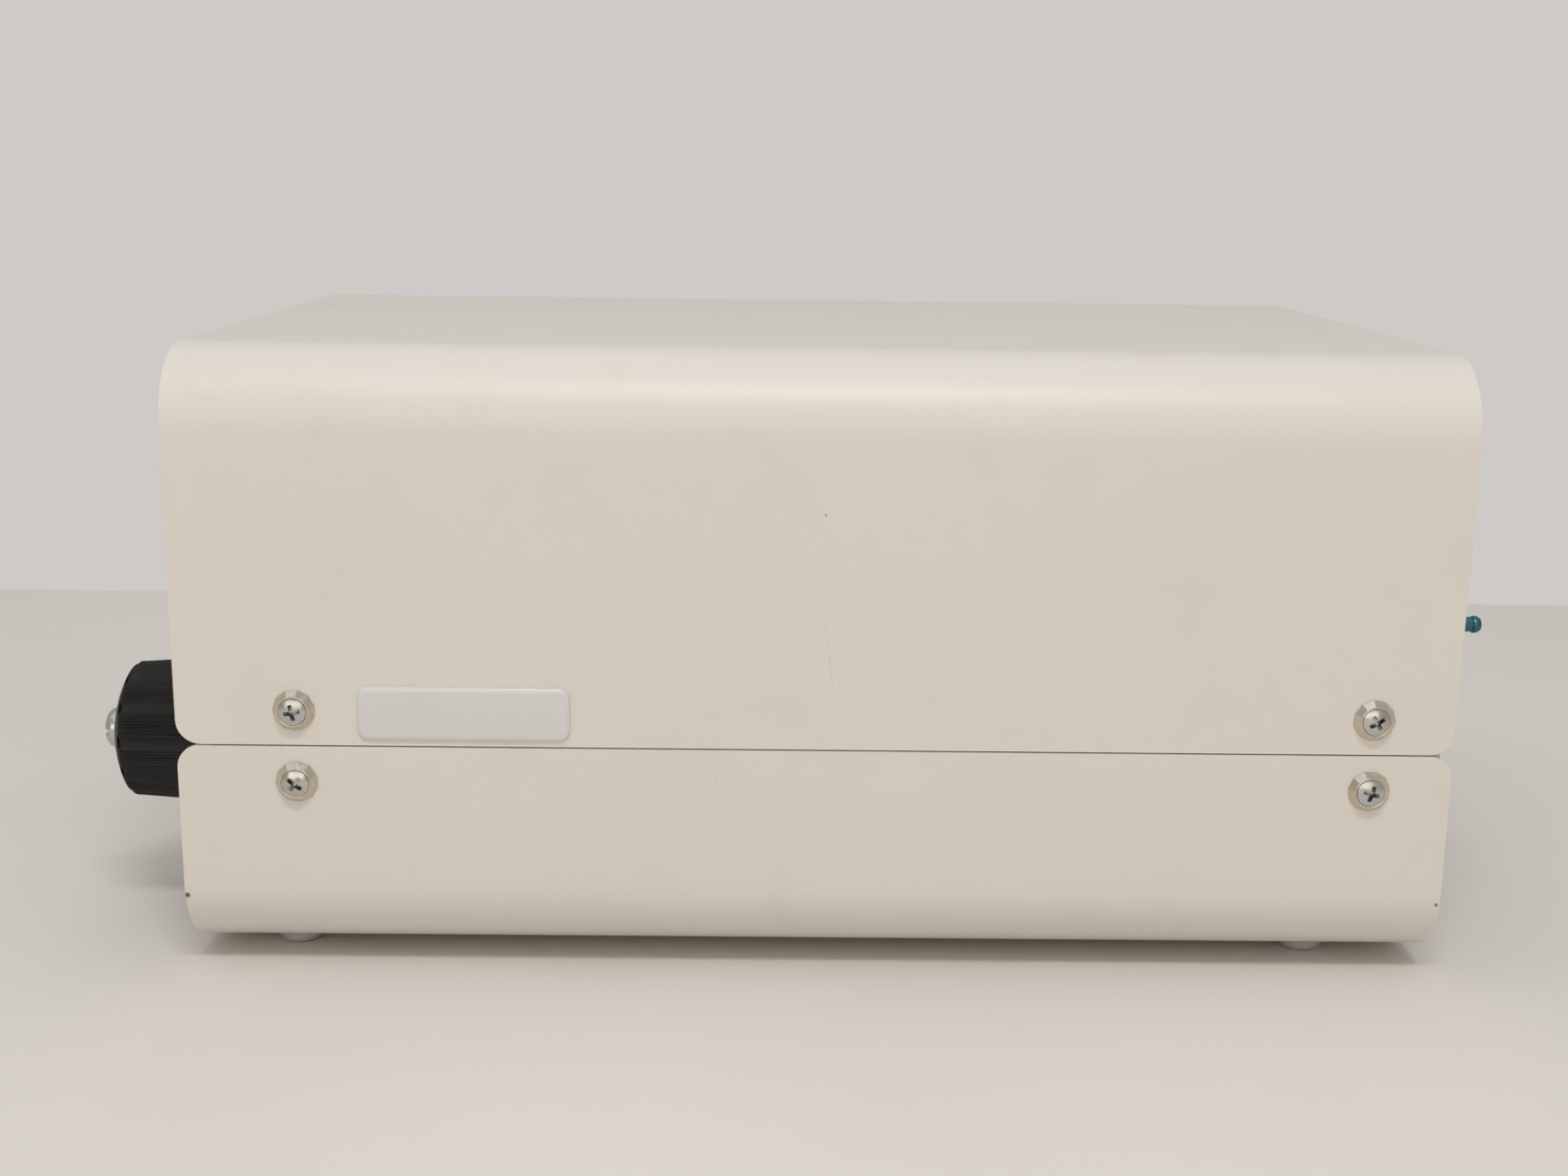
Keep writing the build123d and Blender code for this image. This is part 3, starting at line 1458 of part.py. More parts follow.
nodes = {
    "upper_shell": upper_shell.part,
    "lower_shell": lower_shell.part,
    "shell_screws": shell_screws.part,
    "cup_washers": cup_washers.part,
    "feet": feet.part,
    "badge": badge.part,
    "side_rails": side_rails.part,
    "frame_screws": frame_screws.part,
    "front_panel": front_panel.part,
    "rear_panel": rear_panel.part,
    "display_window": display_window.part,
    "display_module": display_module.part,
    "control_board": control_board.part,
    "board_spacers": board_spacers.part,
    **key_nodes,
    "key_switches": key_switches.part,
    "status_lights": status_lights.part,
    "switch_housing": switch_housing.part,
    "switch_rocker": switch_rocker.part,
    "valve_body": valve_body.part,
    "valve_nut": valve_nut.part,
    "valve_spindle": valve_spindle.part,
    "spindle_seal": spindle_seal.part,
    "valve_needle": valve_needle.part,
    "knob": knob.part,
    "knob_screw": knob_screw.part,
    "gas_inlet_nipple": gas_inlet_nipple.part,
    "gas_outlet_nipple": gas_outlet_nipple.part,
    "nipple_nuts": nipple_nuts.part,
    "solenoid_bracket": solenoid_bracket.part,
    "solenoid_body": solenoid_body.part,
    "solenoid_coil": solenoid_coil.part,
    "solenoid_plunger": solenoid_plunger.part,
    "solenoid_spring": solenoid_spring.part,
    "inlet_hose": inlet_hose.part,
    "valve_hose": valve_hose.part,
    "outlet_hose": outlet_hose.part,
    "mains_inlet": mains_inlet.part,
    "inlet_pins": inlet_pins.part,
    "fuse_drawer": fuse_drawer.part,
    "fuses": fuses.part,
    "sensor_sockets": sensor_sockets.part,
    "socket_nuts": socket_nuts.part,
    "fan_housing": fan_housing.part,
    "fan_rotor": fan_rotor.part,
    "fan_guard": fan_guard.part,
    "fan_screws": fan_screws.part,
    "transformer_core": transformer_core.part,
    "transformer_pads": transformer_pads.part,
    "transformer_plate": transformer_plate.part,
    "transformer_bolt": transformer_bolt.part,
    "main_board": main_board.part,
    "heat_sink": heat_sink.part,
    "relays": relays.part,
    "capacitors": capacitors.part,
    "terminal_block": terminal_block.part,
}
for node_name, node_part in nodes.items():
    export_step(node_part, f"parts/{node_name}.step")
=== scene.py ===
import json
import math

import bmesh
import bpy
from mathutils import Matrix, Vector


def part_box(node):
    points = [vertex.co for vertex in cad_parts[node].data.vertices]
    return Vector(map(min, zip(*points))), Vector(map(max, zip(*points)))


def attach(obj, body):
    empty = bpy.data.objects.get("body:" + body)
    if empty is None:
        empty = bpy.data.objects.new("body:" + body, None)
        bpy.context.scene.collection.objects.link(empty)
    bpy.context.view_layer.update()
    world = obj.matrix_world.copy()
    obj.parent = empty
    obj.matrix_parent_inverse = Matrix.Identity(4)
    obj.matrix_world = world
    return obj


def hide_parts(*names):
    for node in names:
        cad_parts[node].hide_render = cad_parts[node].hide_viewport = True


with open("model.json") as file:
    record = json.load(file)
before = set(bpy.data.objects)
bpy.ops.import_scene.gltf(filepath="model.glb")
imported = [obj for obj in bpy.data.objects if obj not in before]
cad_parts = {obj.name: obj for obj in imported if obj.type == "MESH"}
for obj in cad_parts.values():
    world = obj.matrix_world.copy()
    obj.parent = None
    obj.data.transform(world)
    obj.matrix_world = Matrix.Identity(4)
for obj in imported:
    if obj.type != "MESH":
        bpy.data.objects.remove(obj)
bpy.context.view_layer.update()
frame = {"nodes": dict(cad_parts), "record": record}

# Lengths below are in millimetres, and become metres in mesh_of()
MM = 0.001


def box_mm(node):
    """Lowest and highest corner of a CAD node, in millimetres."""
    low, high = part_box(node)
    return low / MM, high / MM


def centre_mm(node):
    """Middle of a CAD node's box, in millimetres."""
    low, high = box_mm(node)
    return (low + high) / 2


# Forms are (points, faces) pairs in millimetres


def joined(*forms):
    """One form from several."""
    points = []
    faces = []
    for form_points, form_faces in forms:
        start = len(points)
        points += form_points
        faces += [[start + index for index in face] for face in form_faces]
    return points, faces


def moved(form, matrix):
    """The form with every point moved by the matrix."""
    points, faces = form
    return [matrix @ Vector(point) for point in points], faces


def rings_form(rings, closed_start=True, closed_end=True):
    """Skin over closed rings that all have the same number of points."""
    count = len(rings[0])
    points = [point for ring in rings for point in ring]
    faces = []
    for row in range(len(rings) - 1):
        for step in range(count):
            after = (step + 1) % count
            near = row * count
            far = near + count
            faces.append([near + step, near + after, far + after, far + step])
    if closed_start:
        faces.append(list(range(count))[::-1])
    if closed_end:
        faces.append(list(range(len(points) - count, len(points))))
    return points, faces


def turned_form(profile, steps=48, closed=True):
    """Turned form about its own Z, from (radius, height) points, with its ends closed or open."""
    rings = []
    for radius, height in profile:
        ring = []
        for step in range(steps):
            bearing = 2 * math.pi * step / steps
            ring.append(Vector((radius * math.cos(bearing), radius * math.sin(bearing), height)))
        rings.append(ring)
    return rings_form(rings, closed, closed)


def block_form(size, centre=(0, 0, 0)):
    """Box of the given size about its centre."""
    halves = Vector(size) / 2
    corners = [
        Vector(centre) + Vector((x * halves.x, y * halves.y, z * halves.z))
        for x in (-1, 1)
        for y in (-1, 1)
        for z in (-1, 1)
    ]
    faces = [[0, 1, 3, 2], [4, 6, 7, 5], [0, 4, 5, 1], [2, 3, 7, 6], [0, 2, 6, 4], [1, 5, 7, 3]]
    return corners, faces


def arc_points(centre, radius, start, end, steps):
    """(radius, height) points of an arc between two angles in degrees."""
    points = []
    for step in range(steps + 1):
        angle = math.radians(start + (end - start) * step / steps)
        points.append((centre[0] + radius * math.cos(angle), centre[1] + radius * math.sin(angle)))
    return points


def facing(point, direction, roll=0.0):
    """Matrix that puts a form's own Z along a direction, at a point."""
    turn = Vector(direction).to_track_quat("Z", "Y").to_matrix().to_4x4()
    return Matrix.Translation(point) @ turn @ Matrix.Rotation(math.radians(roll), 4, "Z")


def mesh_of(name, form):
    """Mesh in metres with outward faces."""
    points, faces = form
    mesh = bpy.data.meshes.new(name)
    mesh.from_pydata([Vector(point) * MM for point in points], [], faces)
    work = bmesh.new()
    work.from_mesh(mesh)
    bmesh.ops.recalc_face_normals(work, faces=work.faces)
    work.to_mesh(mesh)
    work.free()
    return mesh


def piece(name, form, material, body, replaced=(), sharp=38):
    """Object made from a form: it rides on its body and stands for CAD nodes."""
    obj = bpy.data.objects.new(name, mesh_of(name, form))
    bpy.context.scene.collection.objects.link(obj)
    obj.data.materials.append(material)
    obj.data.shade_smooth()
    obj.data.set_sharp_from_angle(angle=math.radians(sharp))
    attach(obj, body)
    if replaced:
        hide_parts(*replaced)
    return obj


def carved(obj, form):
    """Takes a form out of the object's mesh for good."""
    tool = bpy.data.objects.new("tool", mesh_of("tool", form))
    bpy.context.scene.collection.objects.link(tool)
    cut = obj.modifiers.new("cut", "BOOLEAN")
    cut.object = tool
    cut.solver = "EXACT"
    graph = bpy.context.evaluated_depsgraph_get()
    mesh = bpy.data.meshes.new_from_object(obj.evaluated_get(graph))
    obj.modifiers.remove(cut)
    old = obj.data
    obj.data = mesh
    bpy.data.meshes.remove(old)
    bpy.data.objects.remove(tool)
    return obj


def softened(obj, width, segments=2, angle=40):
    """Rounds the object's sharp edges by a width in millimetres."""
    bevel = obj.modifiers.new("soft_edges", "BEVEL")
    bevel.width = width * MM
    bevel.segments = segments
    bevel.limit_method = "ANGLE"
    bevel.angle_limit = math.radians(angle)
    bevel.harden_normals = True
    return obj


# Materials


def linear(colour):
    """Linear RGBA of an sRGB colour given from 0 to 255."""
    shares = [value / 255 for value in colour]
    return [v / 12.92 if v <= 0.04045 else ((v + 0.055) / 1.055) ** 2.4 for v in shares] + [1.0]


class Surface:
    """Principled material whose colour and bump are built up from procedural layers."""

    def __init__(self, name, colour, roughness, metallic=0.0, coat=0.0, transmission=0.0):
        self.material = bpy.data.materials.new(name)
        self.material.use_nodes = True
        self.tree = self.material.node_tree
        self.shader = self.tree.nodes["Principled BSDF"]
        self.shader.inputs["Base Color"].default_value = linear(colour)
        self.shader.inputs["Roughness"].default_value = roughness
        self.shader.inputs["Metallic"].default_value = metallic
        self.shader.inputs["Coat Weight"].default_value = coat
        self.shader.inputs["Coat Roughness"].default_value = 0.08
        self.shader.inputs["Transmission Weight"].default_value = transmission
        self.place = self.node("ShaderNodeTexCoord").outputs["Object"]
        self.colour = None
        self.plain = linear(colour)
        self.bump = None

    def node(self, kind, **values):
        made = self.tree.nodes.new(kind)
        for key, value in values.items():
            setattr(made, key, value)
        return made

    def join(self, source, target):
        self.tree.links.new(source, target)

    def noise(self, per_metre, detail=2.0, stretch=(1, 1, 1)):
        """Noise with so many features to a metre, stretched along the axes."""
        scaled = self.node("ShaderNodeMapping")
        scaled.inputs["Scale"].default_value = stretch
        self.join(self.place, scaled.inputs["Vector"])
        noise = self.node("ShaderNodeTexNoise")
        noise.inputs["Scale"].default_value = per_metre
        noise.inputs["Detail"].default_value = detail
        self.join(scaled.outputs["Vector"], noise.inputs["Vector"])
        return noise.outputs["Fac"]

    def math(self, operation, first, second=None):
        made = self.node("ShaderNodeMath", operation=operation)
        for socket, value in zip(made.inputs, (first, second)):
            if value is None:
                continue
            if isinstance(value, (int, float)):
                socket.default_value = value
            else:
                self.join(value, socket)
        return made.outputs["Value"]

    def ramp(self, source, low, high, start=0.0, end=1.0):
        """Smooth step of a value from low to high, as a number from start to end."""
        made = self.node("ShaderNodeMapRange", interpolation_type="SMOOTHSTEP")
        made.inputs["From Min"].default_value = low
        made.inputs["From Max"].default_value = high
        made.inputs["To Min"].default_value = start
        made.inputs["To Max"].default_value = end
        self.join(source, made.inputs["Value"])
        return made.outputs["Result"]

    def tint(self, factor, colour):
        """Lays another colour over what is there, where the factor says."""
        mix = self.node("ShaderNodeMix", data_type="RGBA")
        colours = [socket for socket in mix.inputs if socket.type == "RGBA"]
        if self.colour is None:
            colours[0].default_value = self.plain
        else:
            self.join(self.colour, colours[0])
        colours[1].default_value = linear(colour)
        self.join(factor, mix.inputs["Factor"])
        self.colour = [socket for socket in mix.outputs if socket.type == "RGBA"][0]
        self.join(self.colour, self.shader.inputs["Base Color"])
        return self

    def relief(self, height, depth, strength=1.0):
        """Adds bump of a depth in millimetres."""
        made = self.node("ShaderNodeBump")
        made.inputs["Distance"].default_value = depth * MM
        made.inputs["Strength"].default_value = strength
        self.join(height, made.inputs["Height"])
        if self.bump is not None:
            self.join(self.bump, made.inputs["Normal"])
        self.bump = made.outputs["Normal"]
        self.join(self.bump, self.shader.inputs["Normal"])
        return self

    def rough_by(self, factor, low, high):
        """Varies the roughness with a factor."""
        self.join(self.ramp(factor, 0.3, 0.7, low, high), self.shader.inputs["Roughness"])
        return self

    def near_line(self, start, end, radius, edge):
        """1 within a radius of the segment between two points, in millimetres."""
        start = Vector(start) * MM
        along = Vector(end) * MM - start
        offset = self.node("ShaderNodeVectorMath", operation="SUBTRACT")
        self.join(self.place, offset.inputs[0])
        offset.inputs[1].default_value = start
        away = offset.outputs["Vector"]
        if along.length > 0:
            dot = self.node("ShaderNodeVectorMath", operation="DOT_PRODUCT")
            self.join(away, dot.inputs[0])
            dot.inputs[1].default_value = along / along.length_squared
            share = self.node("ShaderNodeClamp")
            self.join(dot.outputs["Value"], share.inputs["Value"])
            back = self.node("ShaderNodeVectorMath", operation="SCALE")
            back.inputs[0].default_value = along
            self.join(share.outputs["Result"], back.inputs["Scale"])
            rest = self.node("ShaderNodeVectorMath", operation="SUBTRACT")
            self.join(away, rest.inputs[0])
            self.join(back.outputs["Vector"], rest.inputs[1])
            away = rest.outputs["Vector"]
        length = self.node("ShaderNodeVectorMath", operation="LENGTH")
        self.join(away, length.inputs[0])
        return self.ramp(length.outputs["Value"], (radius - edge) * MM, (radius + edge) * MM, 1, 0)


def painted_shell():
    """Powder coat: fine orange peel, faint mottling and the wear that the photograph shows."""
    paint = Surface("shell_paint", (214, 209, 203), 0.42)
    paint.shader.inputs["Specular IOR Level"].default_value = 0.5
    paint.tint(paint.ramp(paint.noise(9), 0.35, 0.75, 0, 0.35), (217, 212, 206))
    paint.tint(paint.ramp(paint.noise(60, 4), 0.5, 0.8, 0, 0.3), (207, 200, 190))
    specks = paint.noise(420, 1)
    paint.tint(paint.ramp(specks, 0.8, 0.84, 0, 0.2), (186, 178, 166))
    scratch = paint.near_line((8.6, -113, 98.9), (10.8, -113, 81.1), 0.12, 0.12)
    broken = paint.ramp(paint.noise(500), 0.42, 0.55)
    worn = paint.math("MULTIPLY", scratch, broken)
    paint.tint(paint.math("MULTIPLY", worn, 0.5), (168, 160, 150))
    for spot, radius, colour in PAINT_SPOTS:
        mark = paint.near_line(spot, spot, radius, radius * 0.4)
        paint.tint(paint.math("MULTIPLY", mark, 0.9), colour)
    scuff = paint.near_line((-118, 4, 169.3), (-99, 0, 169.3), 7, 5)
    streaks = paint.ramp(paint.noise(260, 3, (0.5, 1, 1)), 0.52, 0.68)
    paint.tint(paint.math("MULTIPLY", paint.math("MULTIPLY", scuff, streaks), 0.4), (186, 180, 172))
    paint.relief(paint.noise(1150, 1), 0.05, 0.5)
    paint.relief(paint.noise(330, 1), 0.05, 0.35)
    return paint.material


PAINT_SPOTS = [
    ((8.1, -113, 127.9), 0.28, (120, 112, 104)),
    ((-162.6, -112.6, 21.8), 0.75, (58, 50, 44)),
    ((-162.3, -112.6, 18.4), 0.35, (150, 130, 110)),
    ((176.0, -112.6, 22.0), 0.5, (90, 80, 70)),
    ((7.1, -31.4, 169.3), 0.5, (168, 160, 150)),
]


def satin_panel():
    """Satin anodised sheet, nearly even."""
    panel = Surface("panel_finish", (196, 195, 192), 0.48, metallic=1.0)
    panel.tint(panel.ramp(panel.noise(12, 2), 0.4, 0.7, 0, 0.3), (190, 189, 186))
    panel.relief(panel.noise(2500, 1), 0.002, 0.15)
    return panel.material


def fine_metal(name, colour, roughness, grain=900, depth=0.01, stretch=(1, 1, 1)):
    """Metal with a fine grain and a little uneven shine."""
    metal = Surface(name, colour, roughness, metallic=1.0)
    darker = [value * 0.86 for value in colour]
    metal.tint(metal.ramp(metal.noise(180, 3), 0.4, 0.75, 0, 0.35), darker)
    metal.rough_by(metal.noise(400, 2, stretch), roughness * 0.8, roughness * 1.3)
    metal.relief(metal.noise(grain, 2, stretch), depth, 0.4)
    return metal.material


def moulded(name, colour, roughness, grain=1600, depth=0.012, coat=0.0, gloss=0.5):
    """Moulded plastic or rubber with a fine skin."""
    plastic = Surface(name, colour, roughness, coat=coat)
    plastic.shader.inputs["Specular IOR Level"].default_value = gloss
    worn = [min(255, value + 9) for value in colour]
    plastic.tint(plastic.ramp(plastic.noise(140, 3), 0.45, 0.8, 0, 0.5), worn)
    plastic.relief(plastic.noise(grain, 1), depth, 0.5)
    return plastic.material


def clear_label():
    """Clear domed resin over a silvery white print, left blank."""
    label = Surface("label_resin", (206, 205, 206), 0.36, coat=0.6)
    label.shader.inputs["Coat Roughness"].default_value = 0.03
    label.tint(label.ramp(label.noise(1800, 1), 0.55, 0.7, 0, 0.12), (224, 224, 224))
    label.relief(label.noise(120, 0), 0.02, 0.4)
    return label.material


def wound_tape():
    """Yellow polyester tape wound round the core in overlapping turns."""
    tape = Surface("core_tape", (206, 170, 74), 0.25, coat=0.5)
    tape.tint(tape.ramp(tape.noise(90, 3, (1, 1, 0.2)), 0.4, 0.7, 0, 0.5), (176, 138, 52))
    tape.relief(tape.noise(160, 1, (1, 1, 0.15)), 0.3, 0.5)
    return tape.material


def circuit_board():
    """Solder mask with the faint ridges of the tracks below it."""
    board = Surface("board_laminate", (26, 84, 52), 0.35, coat=0.3)
    tracks = board.noise(300, 0, (0.15, 1, 1))
    board.tint(board.ramp(tracks, 0.52, 0.56, 0, 0.6), (40, 112, 70))
    board.relief(tracks, 0.06, 0.5)
    return board.material


def clear_tube():
    """Blue polyurethane hose, a little see-through."""
    tube = Surface("hose_clear", (120, 160, 205), 0.2, transmission=0.35, coat=0.4)
    tube.tint(tube.ramp(tube.noise(40, 1), 0.4, 0.7, 0, 0.3), (96, 140, 192))
    return tube.material


def dark_window():
    """Dark tinted window over the display."""
    window = Surface("window", (26, 12, 12), 0.06, coat=1.0)
    window.tint(window.ramp(window.noise(30, 1), 0.4, 0.7, 0, 0.3), (34, 16, 16))
    return window.material


LOOKS = {
    "shell_paint": painted_shell(),
    "panel_finish": satin_panel(),
    "rail_metal": fine_metal("rail_metal", (188, 188, 190), 0.34, 600, 0.01, (0.05, 1, 1)),
    "screw_zinc": fine_metal("screw_zinc", (196, 196, 193), 0.24),
    "washer_nickel": fine_metal("washer_nickel", (214, 206, 190), 0.2),
    "foot_rubber": moulded("foot_rubber", (164, 164, 166), 0.45, 700, 0.02, 0.15),
    "label_resin": clear_label(),
    "knob_plastic": moulded("knob_plastic", (17, 17, 18), 0.5, 1400, 0.015, gloss=0.3),
    "black_plastic": moulded("black_plastic", (30, 30, 32), 0.5, 1300, 0.02),
    "key_plastic": moulded("key_plastic", (74, 78, 86), 0.45),
    "window": dark_window(),
    "board_laminate": circuit_board(),
    "component_plastic": moulded("component_plastic", (40, 56, 108), 0.4),
    "terminal_plastic": moulded("terminal_plastic", (36, 120, 72), 0.45),
    "valve_brass": fine_metal("valve_brass", (206, 176, 110), 0.28),
    "stainless": fine_metal("stainless", (190, 190, 188), 0.26, 900, 0.008, (0.05, 1, 1)),
    "nipple_blue": fine_metal("nipple_blue", (70, 116, 130), 0.34),
    "nut_nickel": fine_metal("nut_nickel", (200, 198, 190), 0.24),
    "hose_clear": clear_tube(),
    "contact_metal": fine_metal("contact_metal", (214, 198, 150), 0.22),
    "fuse_glass": moulded("fuse_glass", (216, 213, 206), 0.3, 900, 0.01, 0.3),
    "sink_black": fine_metal("sink_black", (44, 44, 46), 0.5),
    "core_tape": wound_tape(),
    "seal_rubber": moulded("seal_rubber", (22, 22, 22), 0.55),
    "plate_zinc": fine_metal("plate_zinc", (178, 178, 174), 0.38),
    "light_lens": moulded("light_lens", (170, 188, 150), 0.25, 500, 0.01, 0.5),
}

for part in frame["record"]["subparts"]:
    mesh = frame["nodes"][part["node"]].data
    mesh.materials.clear()
    mesh.materials.append(LOOKS[part["material_slot"]])


# Shells: sheet bent to a U, with rounded corners at the seam

SHELL_WALL = 1.5
BEND_RADIUS = 21.6
UPPER_CORNER = 6.5
LOWER_CORNER = 6.0
SIDE_Y = 113.0
CORNER_ZONE = 6.5
SHELL_COLUMNS = 30
SHELL_EDGE = 0.35
VENT_MIDDLE = (-17.0, -54.0)
VENT_COUNT = 10
VENT_PITCH = 10
VENT_LENGTH = 28.0
VENT_WIDTH = 3.0
VENT_CUT = 8.0
SMOOTH_ANGLE = 38


def corner_inset(height, radius):
    """How far a rounded corner stands back at a height above the sheet's edge."""
    if height >= radius:
        return 0.0
    return radius - math.sqrt(radius**2 - (radius - height) ** 2)


def shell_profile(height, depth):
    """(y, rise, rise of the outer face) along half of the U, at a depth below the outer face."""
    radius = BEND_RADIUS - depth
    side = [CORNER_ZONE * (1 - math.cos(math.radians(step * 10))) for step in range(10)]
    straight = height - BEND_RADIUS - CORNER_ZONE
    side += [CORNER_ZONE + straight * step / 6 for step in range(1, 7)]
    spots = [(SIDE_Y - depth, rise) for rise in side]
    for step in range(1, 19):
        angle = math.radians(step * 5)
        spots.append(
            (
                SIDE_Y - BEND_RADIUS + radius * math.cos(angle),
                height - BEND_RADIUS + radius * math.sin(angle),
            )
        )
    spots += [((SIDE_Y - BEND_RADIUS) * (1 - step / 5), height - depth) for step in range(1, 6)]
    return spots


def shell_form(node, upright, corner):
    """Bent sheet between the node's ends; upright is 1 for the upper shell and -1 for the lower."""
    low, high = box_mm(node)
    edge = low.z if upright > 0 else high.z
    height = high.z - low.z
    skins = []
    for depth in (0.0, SHELL_WALL):
        half = shell_profile(height, depth)
        profile = [(-y, rise) for y, rise in half] + [(y, rise) for y, rise in half[-2::-1]]
        rows = []
        for y, rise in profile:
            inset = corner_inset(rise, corner)
            row = []
            for column in range(SHELL_COLUMNS + 1):
                share = column / SHELL_COLUMNS
                x = low.x + inset + (high.x - low.x - 2 * inset) * share
                row.append(Vector((x, y, edge + upright * rise)))
            rows.append(row)
        skins.append(rows)
    outer, inner = skins
    rings = [outer_row + inner_row[::-1] for outer_row, inner_row in zip(outer, inner)]
    return rings_form(rings)


def slot_form(length, width, height):
    """Upright round-ended slot, along its own Y."""
    straight = length / 2 - width / 2
    outline = arc_points((0, straight), width / 2, 0, 180, 10)
    outline += arc_points((0, -straight), width / 2, 180, 360, 10)
    rings = [[Vector((x, y, z)) for x, y in outline] for z in (-height / 2, height / 2)]
    return rings_form(rings)


upper = piece(
    "case_cover",
    shell_form("upper_shell", 1, UPPER_CORNER),
    LOOKS["shell_paint"],
    "case",
    ["upper_shell"],
)
softened(upper, SHELL_EDGE)

lower = piece(
    "case_tray",
    shell_form("lower_shell", -1, LOWER_CORNER),
    LOOKS["shell_paint"],
    "case",
    ["lower_shell"],
)
vent_z = box_mm("lower_shell")[0].z
vents = []
for step in range(VENT_COUNT):
    vent_x = VENT_MIDDLE[0] + (step - (VENT_COUNT - 1) / 2) * VENT_PITCH
    vent_place = Matrix.Translation((vent_x, VENT_MIDDLE[1], vent_z))
    vents.append(moved(slot_form(VENT_LENGTH, VENT_WIDTH, VENT_CUT), vent_place))
carved(lower, joined(*vents))
lower.data.shade_smooth()
lower.data.set_sharp_from_angle(angle=math.radians(SMOOTH_ANGLE))
softened(lower, SHELL_EDGE)


# Side screws and their cup washers

SCREW_XS = (-131.6, 154.9)
SCREW_ZS = (74.1, 54.4)
WASHER_RADIUS = 5.65
WASHER_LIP = 3.95
WASHER_HEIGHT = 2.2
HEAD_RADIUS = 3.7
DOME_HEIGHT = 0.9
WASHER_FACETS = 11
WASHER_SEAT = 2.3
LIP_ROUNDING = 0.27
SHANK_RADIUS = 1.9
SHANK_DEPTH = 4
HEAD_TIP = 0.02
CROSS_FLOOR = (WASHER_HEIGHT - 1.3, 1.1, 0.3)
CROSS_MOUTH = (WASHER_HEIGHT + 1.2, 2.5, 0.62)

side_spots = [
    (Vector((x, side * SIDE_Y, z)), Vector((0, side, 0)))
    for side in (-1, 1)
    for x in SCREW_XS
    for z in SCREW_ZS
]


def washer_shape():
    """Cup washer: short rim, faceted flare, rolled lip and the seat that the head sinks into."""
    flare = turned_form(
        [
            (WASHER_RADIUS - 0.15, 0),
            (WASHER_RADIUS, 0.12),
            (WASHER_RADIUS, 0.4),
            (WASHER_LIP + 0.28, WASHER_HEIGHT - 0.12),
            (WASHER_LIP - 0.1, WASHER_HEIGHT - 0.5),
            (WASHER_SEAT, 0.4),
            (WASHER_SEAT, 0),
            (WASHER_RADIUS - 0.15, 0),
        ],
        WASHER_FACETS,
        closed=False,
    )
    lip_centre = (WASHER_LIP, WASHER_HEIGHT - LIP_ROUNDING)
    lip = turned_form(arc_points(lip_centre, LIP_ROUNDING, 0, 360, 14), closed=False)
    return joined(flare, lip)


def head_shape():
    """Raised countersunk head on a short shank."""
    dome_radius = (HEAD_RADIUS**2 + DOME_HEIGHT**2) / (2 * DOME_HEIGHT)
    top = WASHER_HEIGHT + DOME_HEIGHT
    profile = [
        (SHANK_RADIUS, -SHANK_DEPTH),
        (SHANK_RADIUS, 0.3),
        (HEAD_RADIUS - 0.1, WASHER_HEIGHT - 0.2),
        (HEAD_RADIUS - 0.05, WASHER_HEIGHT),
    ]
    for step in range(1, 9):
        radius = HEAD_RADIUS * (1 - step / 8) + HEAD_TIP
        profile.append((radius, top - dome_radius + math.sqrt(dome_radius**2 - radius**2)))
    return turned_form(profile)


def cross_shape():
    """Tapered cross recess."""
    rings = []
    for height, half, thick in (CROSS_FLOOR, CROSS_MOUTH):
        ring = []
        for turn in range(4):
            quarter = Matrix.Rotation(math.radians(90 * turn), 4, "Z")
            for x, y in ((half, -thick), (half, thick), (thick, thick)):
                ring.append(quarter @ Vector((x, y, height)))
        rings.append(ring)
    return rings_form(rings)


HEAD_TURNS = (12, 52, 31, 74, 5, 40, 66, 20)
heads = []
crosses = []
washers = []
for (spot, outward), turn in zip(side_spots, HEAD_TURNS):
    place = facing(spot, outward, turn)
    heads.append(moved(head_shape(), place))
    crosses.append(moved(cross_shape(), place))
    washers.append(moved(washer_shape(), place))
head_piece = piece(
    "cover_screws",
    joined(*heads),
    LOOKS["screw_zinc"],
    "case",
    ["shell_screws"],
)
carved(head_piece, joined(*crosses))
head_piece.data.shade_smooth()
head_piece.data.set_sharp_from_angle(angle=math.radians(30))
softened(head_piece, 0.08, 1, 50)
piece(
    "cover_washers",
    joined(*washers),
    LOOKS["washer_nickel"],
    "case",
    ["cup_washers"],
    20,
)


# Feet

FOOT_SPOTS = [(x, y) for x in (-138.2, 146.5) for y in (-88.2, 88.2)]
FOOT_RADIUS = 6.3
FOOT_HEIGHT = 4.0
FOOT_STRAIGHT = 3.4
FOOT_ROUNDING = 2.4
FOOT_TIP = 0.001

foot_profile = [(FOOT_RADIUS, FOOT_HEIGHT), (FOOT_RADIUS, FOOT_STRAIGHT)]
foot_corner = (FOOT_RADIUS - FOOT_ROUNDING, FOOT_ROUNDING)
foot_profile += arc_points(foot_corner, FOOT_ROUNDING, 10, -90, 10)
foot_profile += [(FOOT_TIP, 0)]
foot_form = turned_form(foot_profile[::-1])
foot_forms = [moved(foot_form, Matrix.Translation((x, y, 0))) for x, y in FOOT_SPOTS]
piece("bumper_feet", joined(*foot_forms), LOOKS["foot_rubber"], "case", ["feet"])


# Blank label: a rounded plate whose clear face is domed at its edge

LABEL_CORNER = 3.0
LABEL_DEPTH = 1.0
LABEL_CROWN = 1.6

